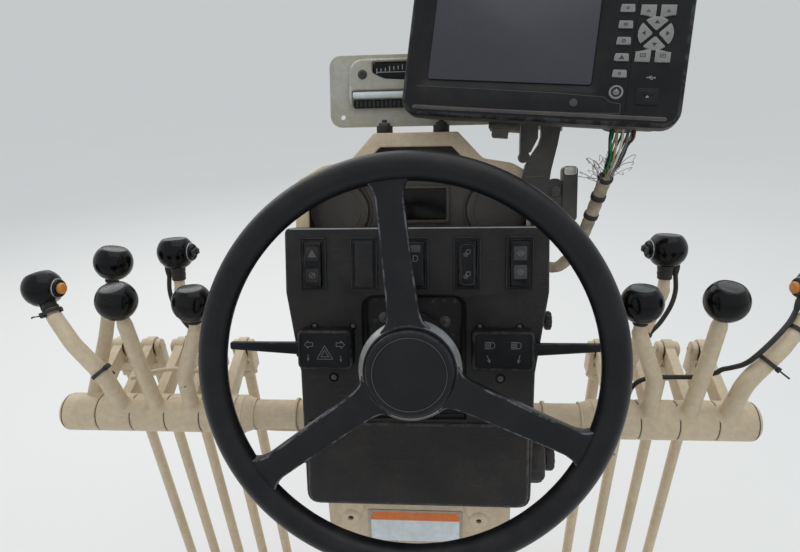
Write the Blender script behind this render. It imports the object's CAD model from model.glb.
"""Dresses the operator control console of a motor grader: pieces, finishes, lamps and camera."""
import random
from math import acos, atan2, cos, degrees, pi, radians, sin, sqrt, tan

import bmesh
import bpy
from bpy.props import FloatProperty, FloatVectorProperty, PointerProperty
from bpy.types import Operator, Panel, PropertyGroup
from mathutils import Matrix, Vector, noise


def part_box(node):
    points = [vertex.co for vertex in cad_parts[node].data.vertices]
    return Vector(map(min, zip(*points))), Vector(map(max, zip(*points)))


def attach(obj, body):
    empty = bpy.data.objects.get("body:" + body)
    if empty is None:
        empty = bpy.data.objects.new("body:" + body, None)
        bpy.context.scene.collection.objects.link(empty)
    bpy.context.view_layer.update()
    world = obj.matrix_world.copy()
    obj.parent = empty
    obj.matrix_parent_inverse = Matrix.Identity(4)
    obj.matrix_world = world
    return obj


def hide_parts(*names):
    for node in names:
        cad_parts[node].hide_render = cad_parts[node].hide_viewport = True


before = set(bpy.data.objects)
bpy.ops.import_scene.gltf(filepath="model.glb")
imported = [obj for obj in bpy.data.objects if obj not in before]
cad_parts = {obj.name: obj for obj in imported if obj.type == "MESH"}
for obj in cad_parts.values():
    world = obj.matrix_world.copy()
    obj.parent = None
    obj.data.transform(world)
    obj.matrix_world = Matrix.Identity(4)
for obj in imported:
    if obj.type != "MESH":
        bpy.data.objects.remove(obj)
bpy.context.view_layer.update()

bl_info = {
    "name": "Grader Control Console",
    "version": (1, 0, 0),
    "blender": (4, 5, 0),
    "location": "View3D > Sidebar > Console",
    "description": "Builds the pieces and finishes of a motor grader's control console",
    "category": "Object",
}

# All lengths below are in millimetres, as in the part's source; a mesh is scaled when it is made.
MM = 0.001


def at(x=0.0, y=0.0, z=0.0):
    """A shift."""
    return Matrix.Translation((x, y, z))


def turned(angle, axis):
    """A turn by degrees about a coordinate axis."""
    return Matrix.Rotation(radians(angle), 4, axis)


# The switch panel's own frame: u to the right, v up the panel, w towards the driver
FACE = at(0, -19.26, 778.65) @ turned(75, "X")
# The monitor's own frame, with its origin on the front face
SCREEN = at(135.6, 25, 1108) @ turned(-11.8, "Z") @ turned(68, "X") @ turned(-2.8, "Z")
TUBE_Z = 656
PANEL_FRONT_Y = -51.07


def tone(red, green, blue):
    """A shader's linear colour from the tone that is seen."""
    return tuple(c / 12.92 if c <= 0.04045 else ((c + 0.055) / 1.055) ** 2.4 for c in (red, green, blue))


def colour(label, text, red, green, blue):
    """A colour property with its default given as it looks."""
    return FloatVectorProperty(name=label, description=text, subtype="COLOR", size=3, min=0, max=1,
                               default=tone(red, green, blue))


def length(label, text, millimetres):
    """A length property with its default given in millimetres."""
    return FloatProperty(name=label, description=text, default=millimetres * MM, min=0, unit="LENGTH",
                         subtype="DISTANCE", precision=4)


def share(label, text, default):
    """A share from 0 to 1."""
    return FloatProperty(name=label, description=text, default=default, min=0, max=1, subtype="FACTOR")


# The usual amounts of dust and wear
DUST, WEAR = 0.55, 0.5


class ConsoleSizes(PropertyGroup):
    """Small sizes that the solids don't carry."""
    plate_edge: length("Plate edge", "Rounding of the steel plates' cut edges", 1.0)
    mould_edge: length("Moulded edge", "Rounding of the moulded panel's front edge", 2.2)
    lever_bend: length("Lever bend", "Bend radius of the hand levers", 34)
    weld_bead: length("Weld bead", "Half width of the weld seams", 2.3)
    weld_fillet: length("Weld fillet", "Reach of the smooth weld at a lever's foot", 5)
    tie_width: length("Tie width", "Width of the cable ties", 4.6)
    wire: length("Wire", "Diameter of a wire in the monitor's loom", 2.6)
    strand: length("Strand", "Diameter of a frayed shield strand", 0.7)
    dust: share("Dust", "How much dust lies on upward faces", DUST)
    wear: share("Wear", "How much paint is worn off the edges", WEAR)


class ConsoleColours(PropertyGroup):
    """The finishes' main colours."""
    paint: colour("Paint", "Cab paint of the steelwork", 0.815, 0.75, 0.635)
    paint_worn: colour("Worn paint", "Where the paint is rubbed thin", 0.75, 0.68, 0.565)
    dust: colour("Dust", "Road dust", 0.50, 0.46, 0.40)
    panel: colour("Panel", "Moulded switch panel", 0.085, 0.09, 0.103)
    black: colour("Black plastic", "Switches and the monitor's case", 0.04, 0.045, 0.06)
    wheel: colour("Wheel", "Rim and spokes of the wheel", 0.035, 0.04, 0.06)
    knob: colour("Knobs", "Lever knobs", 0.012, 0.014, 0.022)
    rubber: colour("Rubber", "Cables and side knobs", 0.10, 0.10, 0.10)
    keys: colour("Keys", "Keys of the monitor", 0.51, 0.51, 0.50)
    sign: colour("Sign", "Sign plate", 0.86, 0.89, 0.90)
    band: colour("Sign band", "Band on the sign plate", 0.90, 0.45, 0.12)
    meter: colour("Meter", "Slope meter's plate", 0.66, 0.66, 0.63)
    steel: colour("Steel", "Monitor arm", 0.20, 0.20, 0.195)
    glass: colour("Screen", "Switched-off screen", 0.17, 0.18, 0.21)
    tape: colour("Tape", "Wrapping of the loom", 0.71, 0.66, 0.57)
    floor: colour("Floor", "Studio floor", 0.90, 0.90, 0.89)


# Outlines and routes

def rounded_rect(width, height, radius, cx=0.0, cy=0.0, steps=5):
    """Points of a rounded rectangle, counter-clockwise."""
    r = min(radius, width / 2 - 0.01, height / 2 - 0.01)
    corners = ((1, 1, 0), (-1, 1, 90), (-1, -1, 180), (1, -1, 270))
    return [(cx + sx * (width / 2 - r) + r * cos(radians(start + 90 * k / steps)),
             cy + sy * (height / 2 - r) + r * sin(radians(start + 90 * k / steps)))
            for sx, sy, start in corners for k in range(steps + 1)]


def arc(cx, cy, radius, start, end, steps=12):
    """Points of an arc between two angles in degrees."""
    return [(cx + radius * cos(radians(start + (end - start) * k / steps)),
             cy + radius * sin(radians(start + (end - start) * k / steps))) for k in range(steps + 1)]


def bend(points, radius, steps=6, closed=False):
    """Rounds the corners of a route or of a closed outline."""
    points = [Vector(p) for p in points]
    count = len(points)
    out = []
    for i, p in enumerate(points):
        if not closed and i in (0, count - 1):
            out.append(p)
            continue
        back, ahead = points[i - 1] - p, points[(i + 1) % count] - p
        r = radius[i] if isinstance(radius, (list, tuple)) else radius
        half = max(back.angle(ahead) / 2, 0.001)
        reach = min(r / tan(half), 0.45 * back.length, 0.45 * ahead.length) if half < 1.56 else 0
        if reach < 0.05:
            out.append(p)
            continue
        a, b = p + back.normalized() * reach, p + ahead.normalized() * reach
        for k in range(steps + 1):
            t = k / steps
            out.append((1 - t) ** 2 * a + 2 * t * (1 - t) * p + t * t * b)
    return out


def smooth(points, steps=6):
    """A smooth route through all the points."""
    points = [Vector(p) for p in points]
    ends = [2 * points[0] - points[1]] + points + [2 * points[-1] - points[-2]]
    out = []
    for a, b, c, d in zip(ends, ends[1:], ends[2:], ends[3:]):
        for k in range(steps):
            t = k / steps
            out.append(0.5 * (2 * b + (c - a) * t + (2 * a - 5 * b + 4 * c - d) * t * t
                              + (3 * b - a - 3 * c + d) * t ** 3))
    return out + [points[-1]]


def polygon(radius, sides):
    """The corners of a regular polygon, or the points of a circle."""
    return [(radius * cos(2 * pi * k / sides), radius * sin(2 * pi * k / sides)) for k in range(sides)]


def ccw(outline):
    """The outline run counter-clockwise."""
    area = sum(a[0] * b[1] - b[0] * a[1] for a, b in zip(outline, outline[1:] + outline[:1]))
    return outline if area >= 0 else outline[::-1]


def split(points, span, loop=False):
    """A route with points added, so that none are further apart than about span."""
    out = []
    for a, b in zip(points, points[1:] + (points[:1] if loop else [])):
        count = max(1, int((b - a).length / span))
        out += [a.lerp(b, k / count) for k in range(count)]
    return out if loop else out + [points[-1]]


def inset(outline, distance):
    """A closed outline moved inwards."""
    points = [Vector(p[:2]) for p in outline]
    if not distance:
        return points
    out = []
    for i, p in enumerate(points):
        a = (p - points[i - 1]).normalized()
        b = (points[(i + 1) % len(points)] - p).normalized()
        na, nb = Vector((-a.y, a.x)), Vector((-b.y, b.x))
        out.append(p + (na + nb) * (distance / max(0.35, 1 + na.dot(nb))))
    return out


def towards(a, b):
    """The place at a with z pointing to b."""
    a, b = Vector(a), Vector(b)
    return Matrix.Translation(a) @ (b - a).to_track_quat("Z", "Y").to_matrix().to_4x4()


# Edges sharper than the first are rounded, and those sharper than the second are shaded as sharp.
SOFTENED, SHARP = radians(30), radians(34)


class Mould:
    """Gathers the faces of one piece, in millimetres, each with its place and its material's number."""

    def __init__(self, place=None):
        self.bm = bmesh.new()
        self.rim = self.bm.loops.layers.float.new("rim")
        self.place = place or Matrix()
        self.mat = 0

    def face(self, verts, rim=0.0):
        """One face with its share of worn edge."""
        if len(set(verts)) < 3:
            return
        new = self.bm.faces.new(verts)
        new.material_index = self.mat
        for loop in new.loops:
            loop[self.rim] = rim

    def rings(self, rows, rims=None, capped=True, loop=False):
        """Joins rows of points by faces; loop joins the last row to the first."""
        grid = [[self.bm.verts.new(self.place @ Vector(p if len(p) == 3 else (*p, 0))) for p in row]
                for row in rows]
        pairs = list(zip(grid, grid[1:])) + ([(grid[-1], grid[0])] if loop else [])
        for i, (a, b) in enumerate(pairs):
            rim = rims[i] if rims else 0.0
            count = max(len(a), len(b))
            for k in range(count):
                j = (k + 1) % count
                if len(a) == 1:
                    self.face([a[0], b[j], b[k]], rim)
                elif len(b) == 1:
                    self.face([a[k], a[j], b[0]], rim)
                else:
                    self.face([a[k], a[j], b[j], b[k]], rim)
        if capped and not loop:
            self.face(grid[0][::-1])
            self.face(grid[-1])

    def prism(self, outline, low, high, top=0.0, foot=0.0, steps=2):
        """An outline raised from low to high, with its upper and lower edges rounded."""
        levels = []
        for k in range(steps + 1 if foot else 1):
            a = k / steps * pi / 2
            levels.append((foot * (1 - sin(a)), low + foot * (1 - cos(a))))
        for k in range(steps + 1 if top else 1):
            a = k / steps * pi / 2
            levels.append((top * (1 - cos(a)), high - top * (1 - sin(a))))
        rims = [float(abs(a[0] - b[0]) > 0) for a, b in zip(levels, levels[1:])]
        self.draw(outline, levels, rims)

    def draw(self, outline, profile, rims=None):
        """An outline drawn through a profile of insets and heights."""
        self.rings([[(p.x, p.y, z) for p in inset(outline, d)] for d, z in profile], rims)

    def box(self, width, depth, low, high, radius=1.0, edge=0.6, cx=0.0, cy=0.0):
        """A block with rounded corners and edges."""
        edge = min(edge, radius)
        self.prism(rounded_rect(width, depth, radius, cx, cy, 3), low, high, edge, edge)

    def slab(self, width, height, radius, profile, rims=None):
        """A rounded rectangle drawn through a profile of insets and heights."""
        rows = []
        for d, z in profile:
            line = rounded_rect(width - 2 * d, height - 2 * d, max(radius - d, 0.4), steps=6)
            rows.append([(x, y, z) for x, y in line])
        self.rings(rows, rims)

    def lathe(self, profile, steps=40, loop=False, rims=None):
        """A profile of radius and height turned about z."""
        rows = [[(0, 0, z)] if r < 0.001 else [(x, y, z) for x, y in polygon(r, steps)] for r, z in profile]
        self.rings(rows, rims, capped=not loop and len(rows[0]) + len(rows[-1]) > 2, loop=loop)

    def bored(self, inner, outer, low, high, edge=0.6, steps=40):
        """A ring with a bore and rounded outer edges."""
        self.lathe([(inner, low), (outer - edge, low), (outer, low + edge), (outer, high - edge),
                    (outer - edge, high), (inner, high)], steps, True, [0, 1, 0, 1, 0, 0])

    def tube(self, path, radius, steps=12, loop=False, dome=0.0, flat=1.0):
        """A round bar along a path; radius is a number or a list; dome rounds its ends."""
        path = [Vector(p) for p in path]
        count = len(path)
        rows, normal = [], None
        radii = radius if isinstance(radius, list) else [radius] * count
        for i, p in enumerate(path):
            ahead = path[(i + 1) % count] if loop else path[min(i + 1, count - 1)]
            t = (ahead - path[i - 1] if loop or i else ahead - p).normalized()
            normal = t.orthogonal().normalized() if normal is None else (normal - t * normal.dot(t)).normalized()
            side = t.cross(normal)
            ring = [(x, flat * y) for x, y in polygon(radii[i], steps)]
            if dome and i == 0 and not loop:
                rows += self.cap(p, -t, normal, side, ring, radii[i] * dome)[::-1]
            rows.append([p + normal * x + side * y for x, y in ring])
            if dome and i == count - 1 and not loop:
                rows += self.cap(p, t, normal, side, ring, radii[i] * dome)
        self.rings(rows, loop=loop)

    @staticmethod
    def cap(p, t, normal, side, ring, rise):
        """The rows that round a tube's end."""
        rows = [[p + t * (rise * sin(a)) + (normal * x + side * y) * cos(a) for x, y in ring]
                for a in (radians(30), radians(60))]
        return rows + [[p + t * rise]]

    def strokes(self, lines, width, low, high):
        """Thin raised lines in the drawing plane."""
        for line in lines:
            for a, b in zip(line, line[1:]):
                a, b = Vector(a), Vector(b)
                if (b - a).length < 0.01:
                    continue
                d = (b - a).normalized() * (width / 2)
                s = Vector((-d.y, d.x))
                ring = [a - d - s, b + d - s, b + d + s, a - d + s]
                self.rings([[(p.x, p.y, z) for p in ring] for z in (low, high)])

    def screw(self, place, radius, head, kind="hex"):
        """A screw head with its washer."""
        keep, self.place = self.place, place
        self.lathe([(0, -0.5), (radius * 1.35, -0.5), (radius * 1.35, 0.8), (radius * 1.2, 1.0), (0, 1.0)], 20)
        if kind == "hex":
            self.prism(polygon(radius, 6), 0.5, head, radius * 0.12)
        else:
            socket = radius * 0.5
            self.lathe([(0, 0.5), (radius, 0.5), (radius, head * 0.6), (radius * 0.8, head), (socket, head),
                        (socket, head * 0.35), (0, head * 0.35)], 18)
        self.place = keep

    def solid(self, node):
        """Takes in a CAD node's solid, as flat faces."""
        self.bm.from_mesh(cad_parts[node].data)
        bmesh.ops.scale(self.bm, vec=(1 / MM,) * 3, verts=self.bm.verts)
        bmesh.ops.remove_doubles(self.bm, verts=self.bm.verts, dist=0.005)
        bmesh.ops.dissolve_limit(self.bm, angle_limit=radians(0.6), verts=self.bm.verts, edges=self.bm.edges)
        for f in self.bm.faces:
            f.material_index = 0
        return self

    def soften(self, radius, steps=2):
        """Rounds every sharp edge."""
        edges = [e for e in self.bm.edges if len(e.link_faces) == 2 and e.calc_face_angle(0) > SOFTENED]
        new = bmesh.ops.bevel(self.bm, geom=edges, offset=radius, offset_type="OFFSET", segments=steps,
                              profile=0.5, affect="EDGES", clamp_overlap=True)
        for f in new["faces"]:
            for loop in f.loops:
                loop[self.rim] = 1.0
        return self

    def mesh(self, name):
        """The finished mesh, in metres; the mould is used up."""
        bmesh.ops.recalc_face_normals(self.bm, faces=self.bm.faces)
        bmesh.ops.scale(self.bm, vec=(MM,) * 3, verts=self.bm.verts)
        data = bpy.data.meshes.new(name)
        self.bm.to_mesh(data)
        self.bm.free()
        return data


def make(mould, name, finishes, body, nodes=(), cutter=None):
    """Turns a mould into a piece that rides on a body and stands for its CAD nodes."""
    obj = bpy.data.objects.new(name, mould.mesh(name))
    bpy.context.scene.collection.objects.link(obj)
    for finish in finishes:
        obj.data.materials.append(FINISHES[finish])
    if cutter:
        tool = bpy.data.objects.new(name + "_cutter", cutter.mesh(name + "_cutter"))
        bpy.context.scene.collection.objects.link(tool)
        tool.data.materials.append(FINISHES[finishes[0]])
        change = obj.modifiers.new("cut", "BOOLEAN")
        change.object, change.solver = tool, "EXACT"
        bpy.context.view_layer.update()
        result = bpy.data.meshes.new_from_object(obj.evaluated_get(bpy.context.evaluated_depsgraph_get()))
        obj.modifiers.clear()
        obj.data = result
        bpy.data.objects.remove(tool)
        if not result.polygons:
            raise RuntimeError(name + " was lost in its cut")
    obj.data.shade_smooth()
    obj.data.set_sharp_from_angle(angle=SHARP)
    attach(obj, body)
    if nodes:
        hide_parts(*nodes)
    return obj


# Finishes

FINISHES = {}


class Net:
    """Adds nodes to one tree and joins them."""

    def __init__(self, tree):
        self.tree = tree
        tree.nodes.clear()

    def add(self, kind, settings=None, **inputs):
        """A node with its settings and inputs; an input is a number, a colour or another node's output."""
        node = self.tree.nodes.new(kind)
        for key, value in (settings or {}).items():
            setattr(node, key, value)
        for key, value in inputs.items():
            self.put(node.inputs[key.replace("_", " ")], value)
        return node

    def put(self, socket, value):
        """Links a socket, or sets it."""
        if isinstance(value, bpy.types.NodeSocket):
            self.tree.links.new(value, socket)
        elif value is not None:
            if socket.type == "RGBA" and len(value) == 3:
                value = (*value, 1.0)
            socket.default_value = value

    def mix(self, factor, a, b):
        """A blend of two colours."""
        node = self.add("ShaderNodeMix", {"data_type": "RGBA"})
        for index, value in ((0, factor), (6, a), (7, b)):
            self.put(node.inputs[index], value)
        return node.outputs[2]

    def math(self, kind, a, b=0.0, c=0.0, clamp=False):
        """One sum; clamp keeps it between 0 and 1."""
        node = self.add("ShaderNodeMath", {"operation": kind, "use_clamp": clamp})
        for index, value in enumerate((a, b, c)):
            self.put(node.inputs[index], value)
        return node.outputs[0]

    def ramp(self, value, low, high, to_low=0.0, to_high=1.0):
        """Maps low..high to to_low..to_high, smoothly and within it."""
        node = self.add("ShaderNodeMapRange", {"interpolation_type": "SMOOTHSTEP"})
        for index, number in enumerate((value, low, high, to_low, to_high)):
            self.put(node.inputs[index], number)
        return node.outputs[0]

    def noise(self, vector, scale, detail=4.0, rough=0.55, distortion=0.0):
        """Soft noise round 0.5."""
        node = self.add("ShaderNodeTexNoise", Vector=vector, Scale=scale, Detail=detail, Roughness=rough,
                        Distortion=distortion)
        return node.outputs["Fac"]

    def where(self):
        """The place on the object."""
        return self.add("ShaderNodeTexCoord").outputs["Object"]

    def stretched(self, vector, sizes, angles=(0, 0, 0)):
        """A place turned by degrees and stretched."""
        node = self.add("ShaderNodeMapping", Vector=vector, Scale=sizes,
                        Rotation=tuple(radians(a) for a in angles))
        return node.outputs[0]


def group(name, inputs, outputs):
    """A new node group with named sockets; gives its net, its input node and its output node."""
    tree = bpy.data.node_groups.new(name, "ShaderNodeTree")
    net = Net(tree)
    for label, kind, default in inputs:
        socket = tree.interface.new_socket(label, in_out="INPUT", socket_type="NodeSocket" + kind)
        if default is not None:
            socket.default_value = default
    for label, kind in outputs:
        tree.interface.new_socket(label, in_out="OUTPUT", socket_type="NodeSocket" + kind)
    return net, net.add("NodeGroupInput"), net.add("NodeGroupOutput")


def build_groups():
    """The shared effects: dust, edge wear, scratches, stains and grain."""
    net, i, o = group("Dust", [("Colour", "Color", (0.5, 0.5, 0.5, 1)), ("Dust Colour", "Color", (0.5, 0.5, 0.5, 1)),
                               ("Amount", "Float", 0.5), ("Scale", "Float", 30.0)],
                      [("Colour", "Color"), ("Mask", "Float")])
    where = net.where()
    up = net.add("ShaderNodeSeparateXYZ", Vector=net.add("ShaderNodeNewGeometry").outputs["Normal"]).outputs[2]
    lying = net.ramp(up, -0.25, 1.0)
    speckle = net.ramp(net.noise(where, i.outputs["Scale"], 6.0, 0.65), 0.36, 0.68)
    mask = net.math("MULTIPLY", net.math("MULTIPLY_ADD", lying, 0.85, 0.15), speckle)
    mask = net.math("MULTIPLY", mask, i.outputs["Amount"], clamp=True)
    net.put(o.inputs["Colour"], net.mix(mask, i.outputs["Colour"], i.outputs["Dust Colour"]))
    net.put(o.inputs["Mask"], mask)

    net, i, o = group("Edge Wear", [("Amount", "Float", 0.5), ("Scale", "Float", 60.0)], [("Mask", "Float")])
    where = net.where()
    rim = net.add("ShaderNodeAttribute", {"attribute_name": "rim"}).outputs["Fac"]
    patch = net.ramp(net.noise(where, i.outputs["Scale"], 5.0, 0.7), 0.42, 0.62)
    net.put(o.inputs["Mask"], net.math("MULTIPLY", net.math("MULTIPLY", rim, patch), i.outputs["Amount"],
                                       clamp=True))

    net, i, o = group("Scratches", [("Amount", "Float", 0.5), ("Scale", "Float", 1.0)], [("Mask", "Float")])
    where = net.add("ShaderNodeVectorMath", {"operation": "SCALE"}, Vector=net.where(),
                    Scale=i.outputs["Scale"]).outputs[0]
    lines = None
    for sizes, angles in (((9, 330, 330), (12, 31, 20)), ((260, 11, 260), (24, -17, 41)),
                          ((300, 300, 14), (37, 8, -22))):
        thin = net.noise(net.stretched(where, sizes, angles), 1.0, 2.0, 0.5)
        thin = net.ramp(net.math("ABSOLUTE", net.math("SUBTRACT", thin, 0.5)), 0.0, 0.012, 1.0, 0.0)
        gate = net.ramp(net.noise(net.stretched(where, (1, 1, 1), angles), 21.0, 2.0), 0.52, 0.62)
        thin = net.math("MULTIPLY", thin, gate)
        lines = thin if lines is None else net.math("MAXIMUM", lines, thin)
    net.put(o.inputs["Mask"], net.math("MULTIPLY", lines, i.outputs["Amount"], clamp=True))

    net, i, o = group("Stains", [("Scale", "Float", 9.0), ("Streak", "Float", 0.35)],
                      [("Mask", "Float"), ("Fine", "Float")])
    where = net.where()
    soft = net.ramp(net.noise(where, i.outputs["Scale"], 5.0, 0.6, 0.6), 0.34, 0.68)
    runs = net.ramp(net.noise(net.stretched(where, (60, 60, 5)), 1.0, 3.0), 0.45, 0.7)
    blend = net.add("ShaderNodeMix", {"data_type": "FLOAT"})
    for index, value in ((0, i.outputs["Streak"]), (2, soft), (3, runs)):
        net.put(blend.inputs[index], value)
    net.put(o.inputs["Mask"], blend.outputs[0])
    net.put(o.inputs["Fine"], net.noise(where, 130.0, 5.0, 0.6))

    net, i, o = group("Grain", [("Scale", "Float", 700.0), ("Leather", "Float", 0.0)], [("Height", "Float")])
    where = net.where()
    fine = net.noise(where, i.outputs["Scale"], 3.0, 0.5)
    cells = net.add("ShaderNodeTexVoronoi", {"feature": "DISTANCE_TO_EDGE"}, Vector=where,
                    Scale=i.outputs["Scale"]).outputs["Distance"]
    blend = net.add("ShaderNodeMix", {"data_type": "FLOAT"})
    for index, value in ((0, i.outputs["Leather"]), (2, fine), (3, net.ramp(cells, 0.0, 0.3))):
        net.put(blend.inputs[index], value)
    net.put(o.inputs["Height"], blend.outputs[0])


GRAIN_DEPTH = 0.0002
EDGE_SCALE, DUST_SCALE, COAT_ROUGH = 70.0, 26.0, 0.1


def finish(name, main, second, dusty, dust, wear, worn, scratch, scratched, rough, spread, grain=700.0,
           leather=0.0, bump=0.25, depth=GRAIN_DEPTH, metal=0.0, stain=9.0, streak=0.35, coat=0.0,
           specular=0.5, chips=None):
    """One painted, moulded or metal finish: stains, scratches, worn edges, dust and grain."""
    material = bpy.data.materials.new(name)
    material.use_nodes = True
    net = Net(material.node_tree)

    def place(kind, **inputs):
        """One of the shared effects."""
        return net.add("ShaderNodeGroup", {"node_tree": bpy.data.node_groups[kind]}, **inputs)

    stains = place("Stains", Scale=stain, Streak=streak)
    base = net.mix(stains.outputs["Mask"], main, second)
    base = net.mix(net.ramp(stains.outputs["Fine"], 0.3, 0.7, 0.0, 0.35), base, shade(second, 0.72))
    lines = place("Scratches", Amount=scratch, Scale=1.0).outputs["Mask"]
    base = net.mix(lines, base, scratched or shade(main, 1.7, 0.02))
    edge = place("Edge Wear", Amount=wear, Scale=EDGE_SCALE).outputs["Mask"]
    base = net.mix(edge, base, worn or shade(main, 2.2, 0.03))
    height = place("Grain", Scale=grain, Leather=leather).outputs["Height"]
    if chips:
        where = net.where()
        gate = net.ramp(net.noise(where, 7.0, 2.0), 0.5, 0.62)
        chip = net.math("MULTIPLY", net.ramp(net.noise(where, 85.0, 4.0, 0.6), 0.67, 0.70), gate)
        base = net.mix(chip, base, chips)
        height = net.math("SUBTRACT", height, net.math("MULTIPLY", chip, 1.5))
    dirt = place("Dust", Colour=base, Dust_Colour=dusty, Amount=dust, Scale=DUST_SCALE)
    shader = net.add("ShaderNodeBsdfPrincipled")
    net.put(shader.inputs["Base Color"], dirt.outputs["Colour"])
    matt = net.math("MULTIPLY_ADD", stains.outputs["Fine"], spread, rough - spread / 2)
    matt = net.math("MULTIPLY_ADD", dirt.outputs["Mask"], 0.35, matt)
    net.put(shader.inputs["Roughness"], net.math("MULTIPLY_ADD", lines, 0.2, matt, clamp=True))
    height = net.math("SUBTRACT", height, net.math("MULTIPLY", lines, 0.8))
    relief = net.add("ShaderNodeBump", Strength=bump, Distance=depth, Height=height)
    net.put(shader.inputs["Normal"], relief.outputs[0])
    for key, value in (("Metallic", metal), ("Specular IOR Level", specular), ("Coat Weight", coat),
                       ("Coat Roughness", COAT_ROUGH)):
        shader.inputs[key].default_value = value
    out = net.add("ShaderNodeOutputMaterial")
    net.put(out.inputs["Surface"], shader.outputs[0])
    FINISHES[name] = material


def shade(c, factor, add=0.0):
    """A colour made lighter or darker."""
    return tuple(min(1.0, factor * v + add) for v in c)


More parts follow.
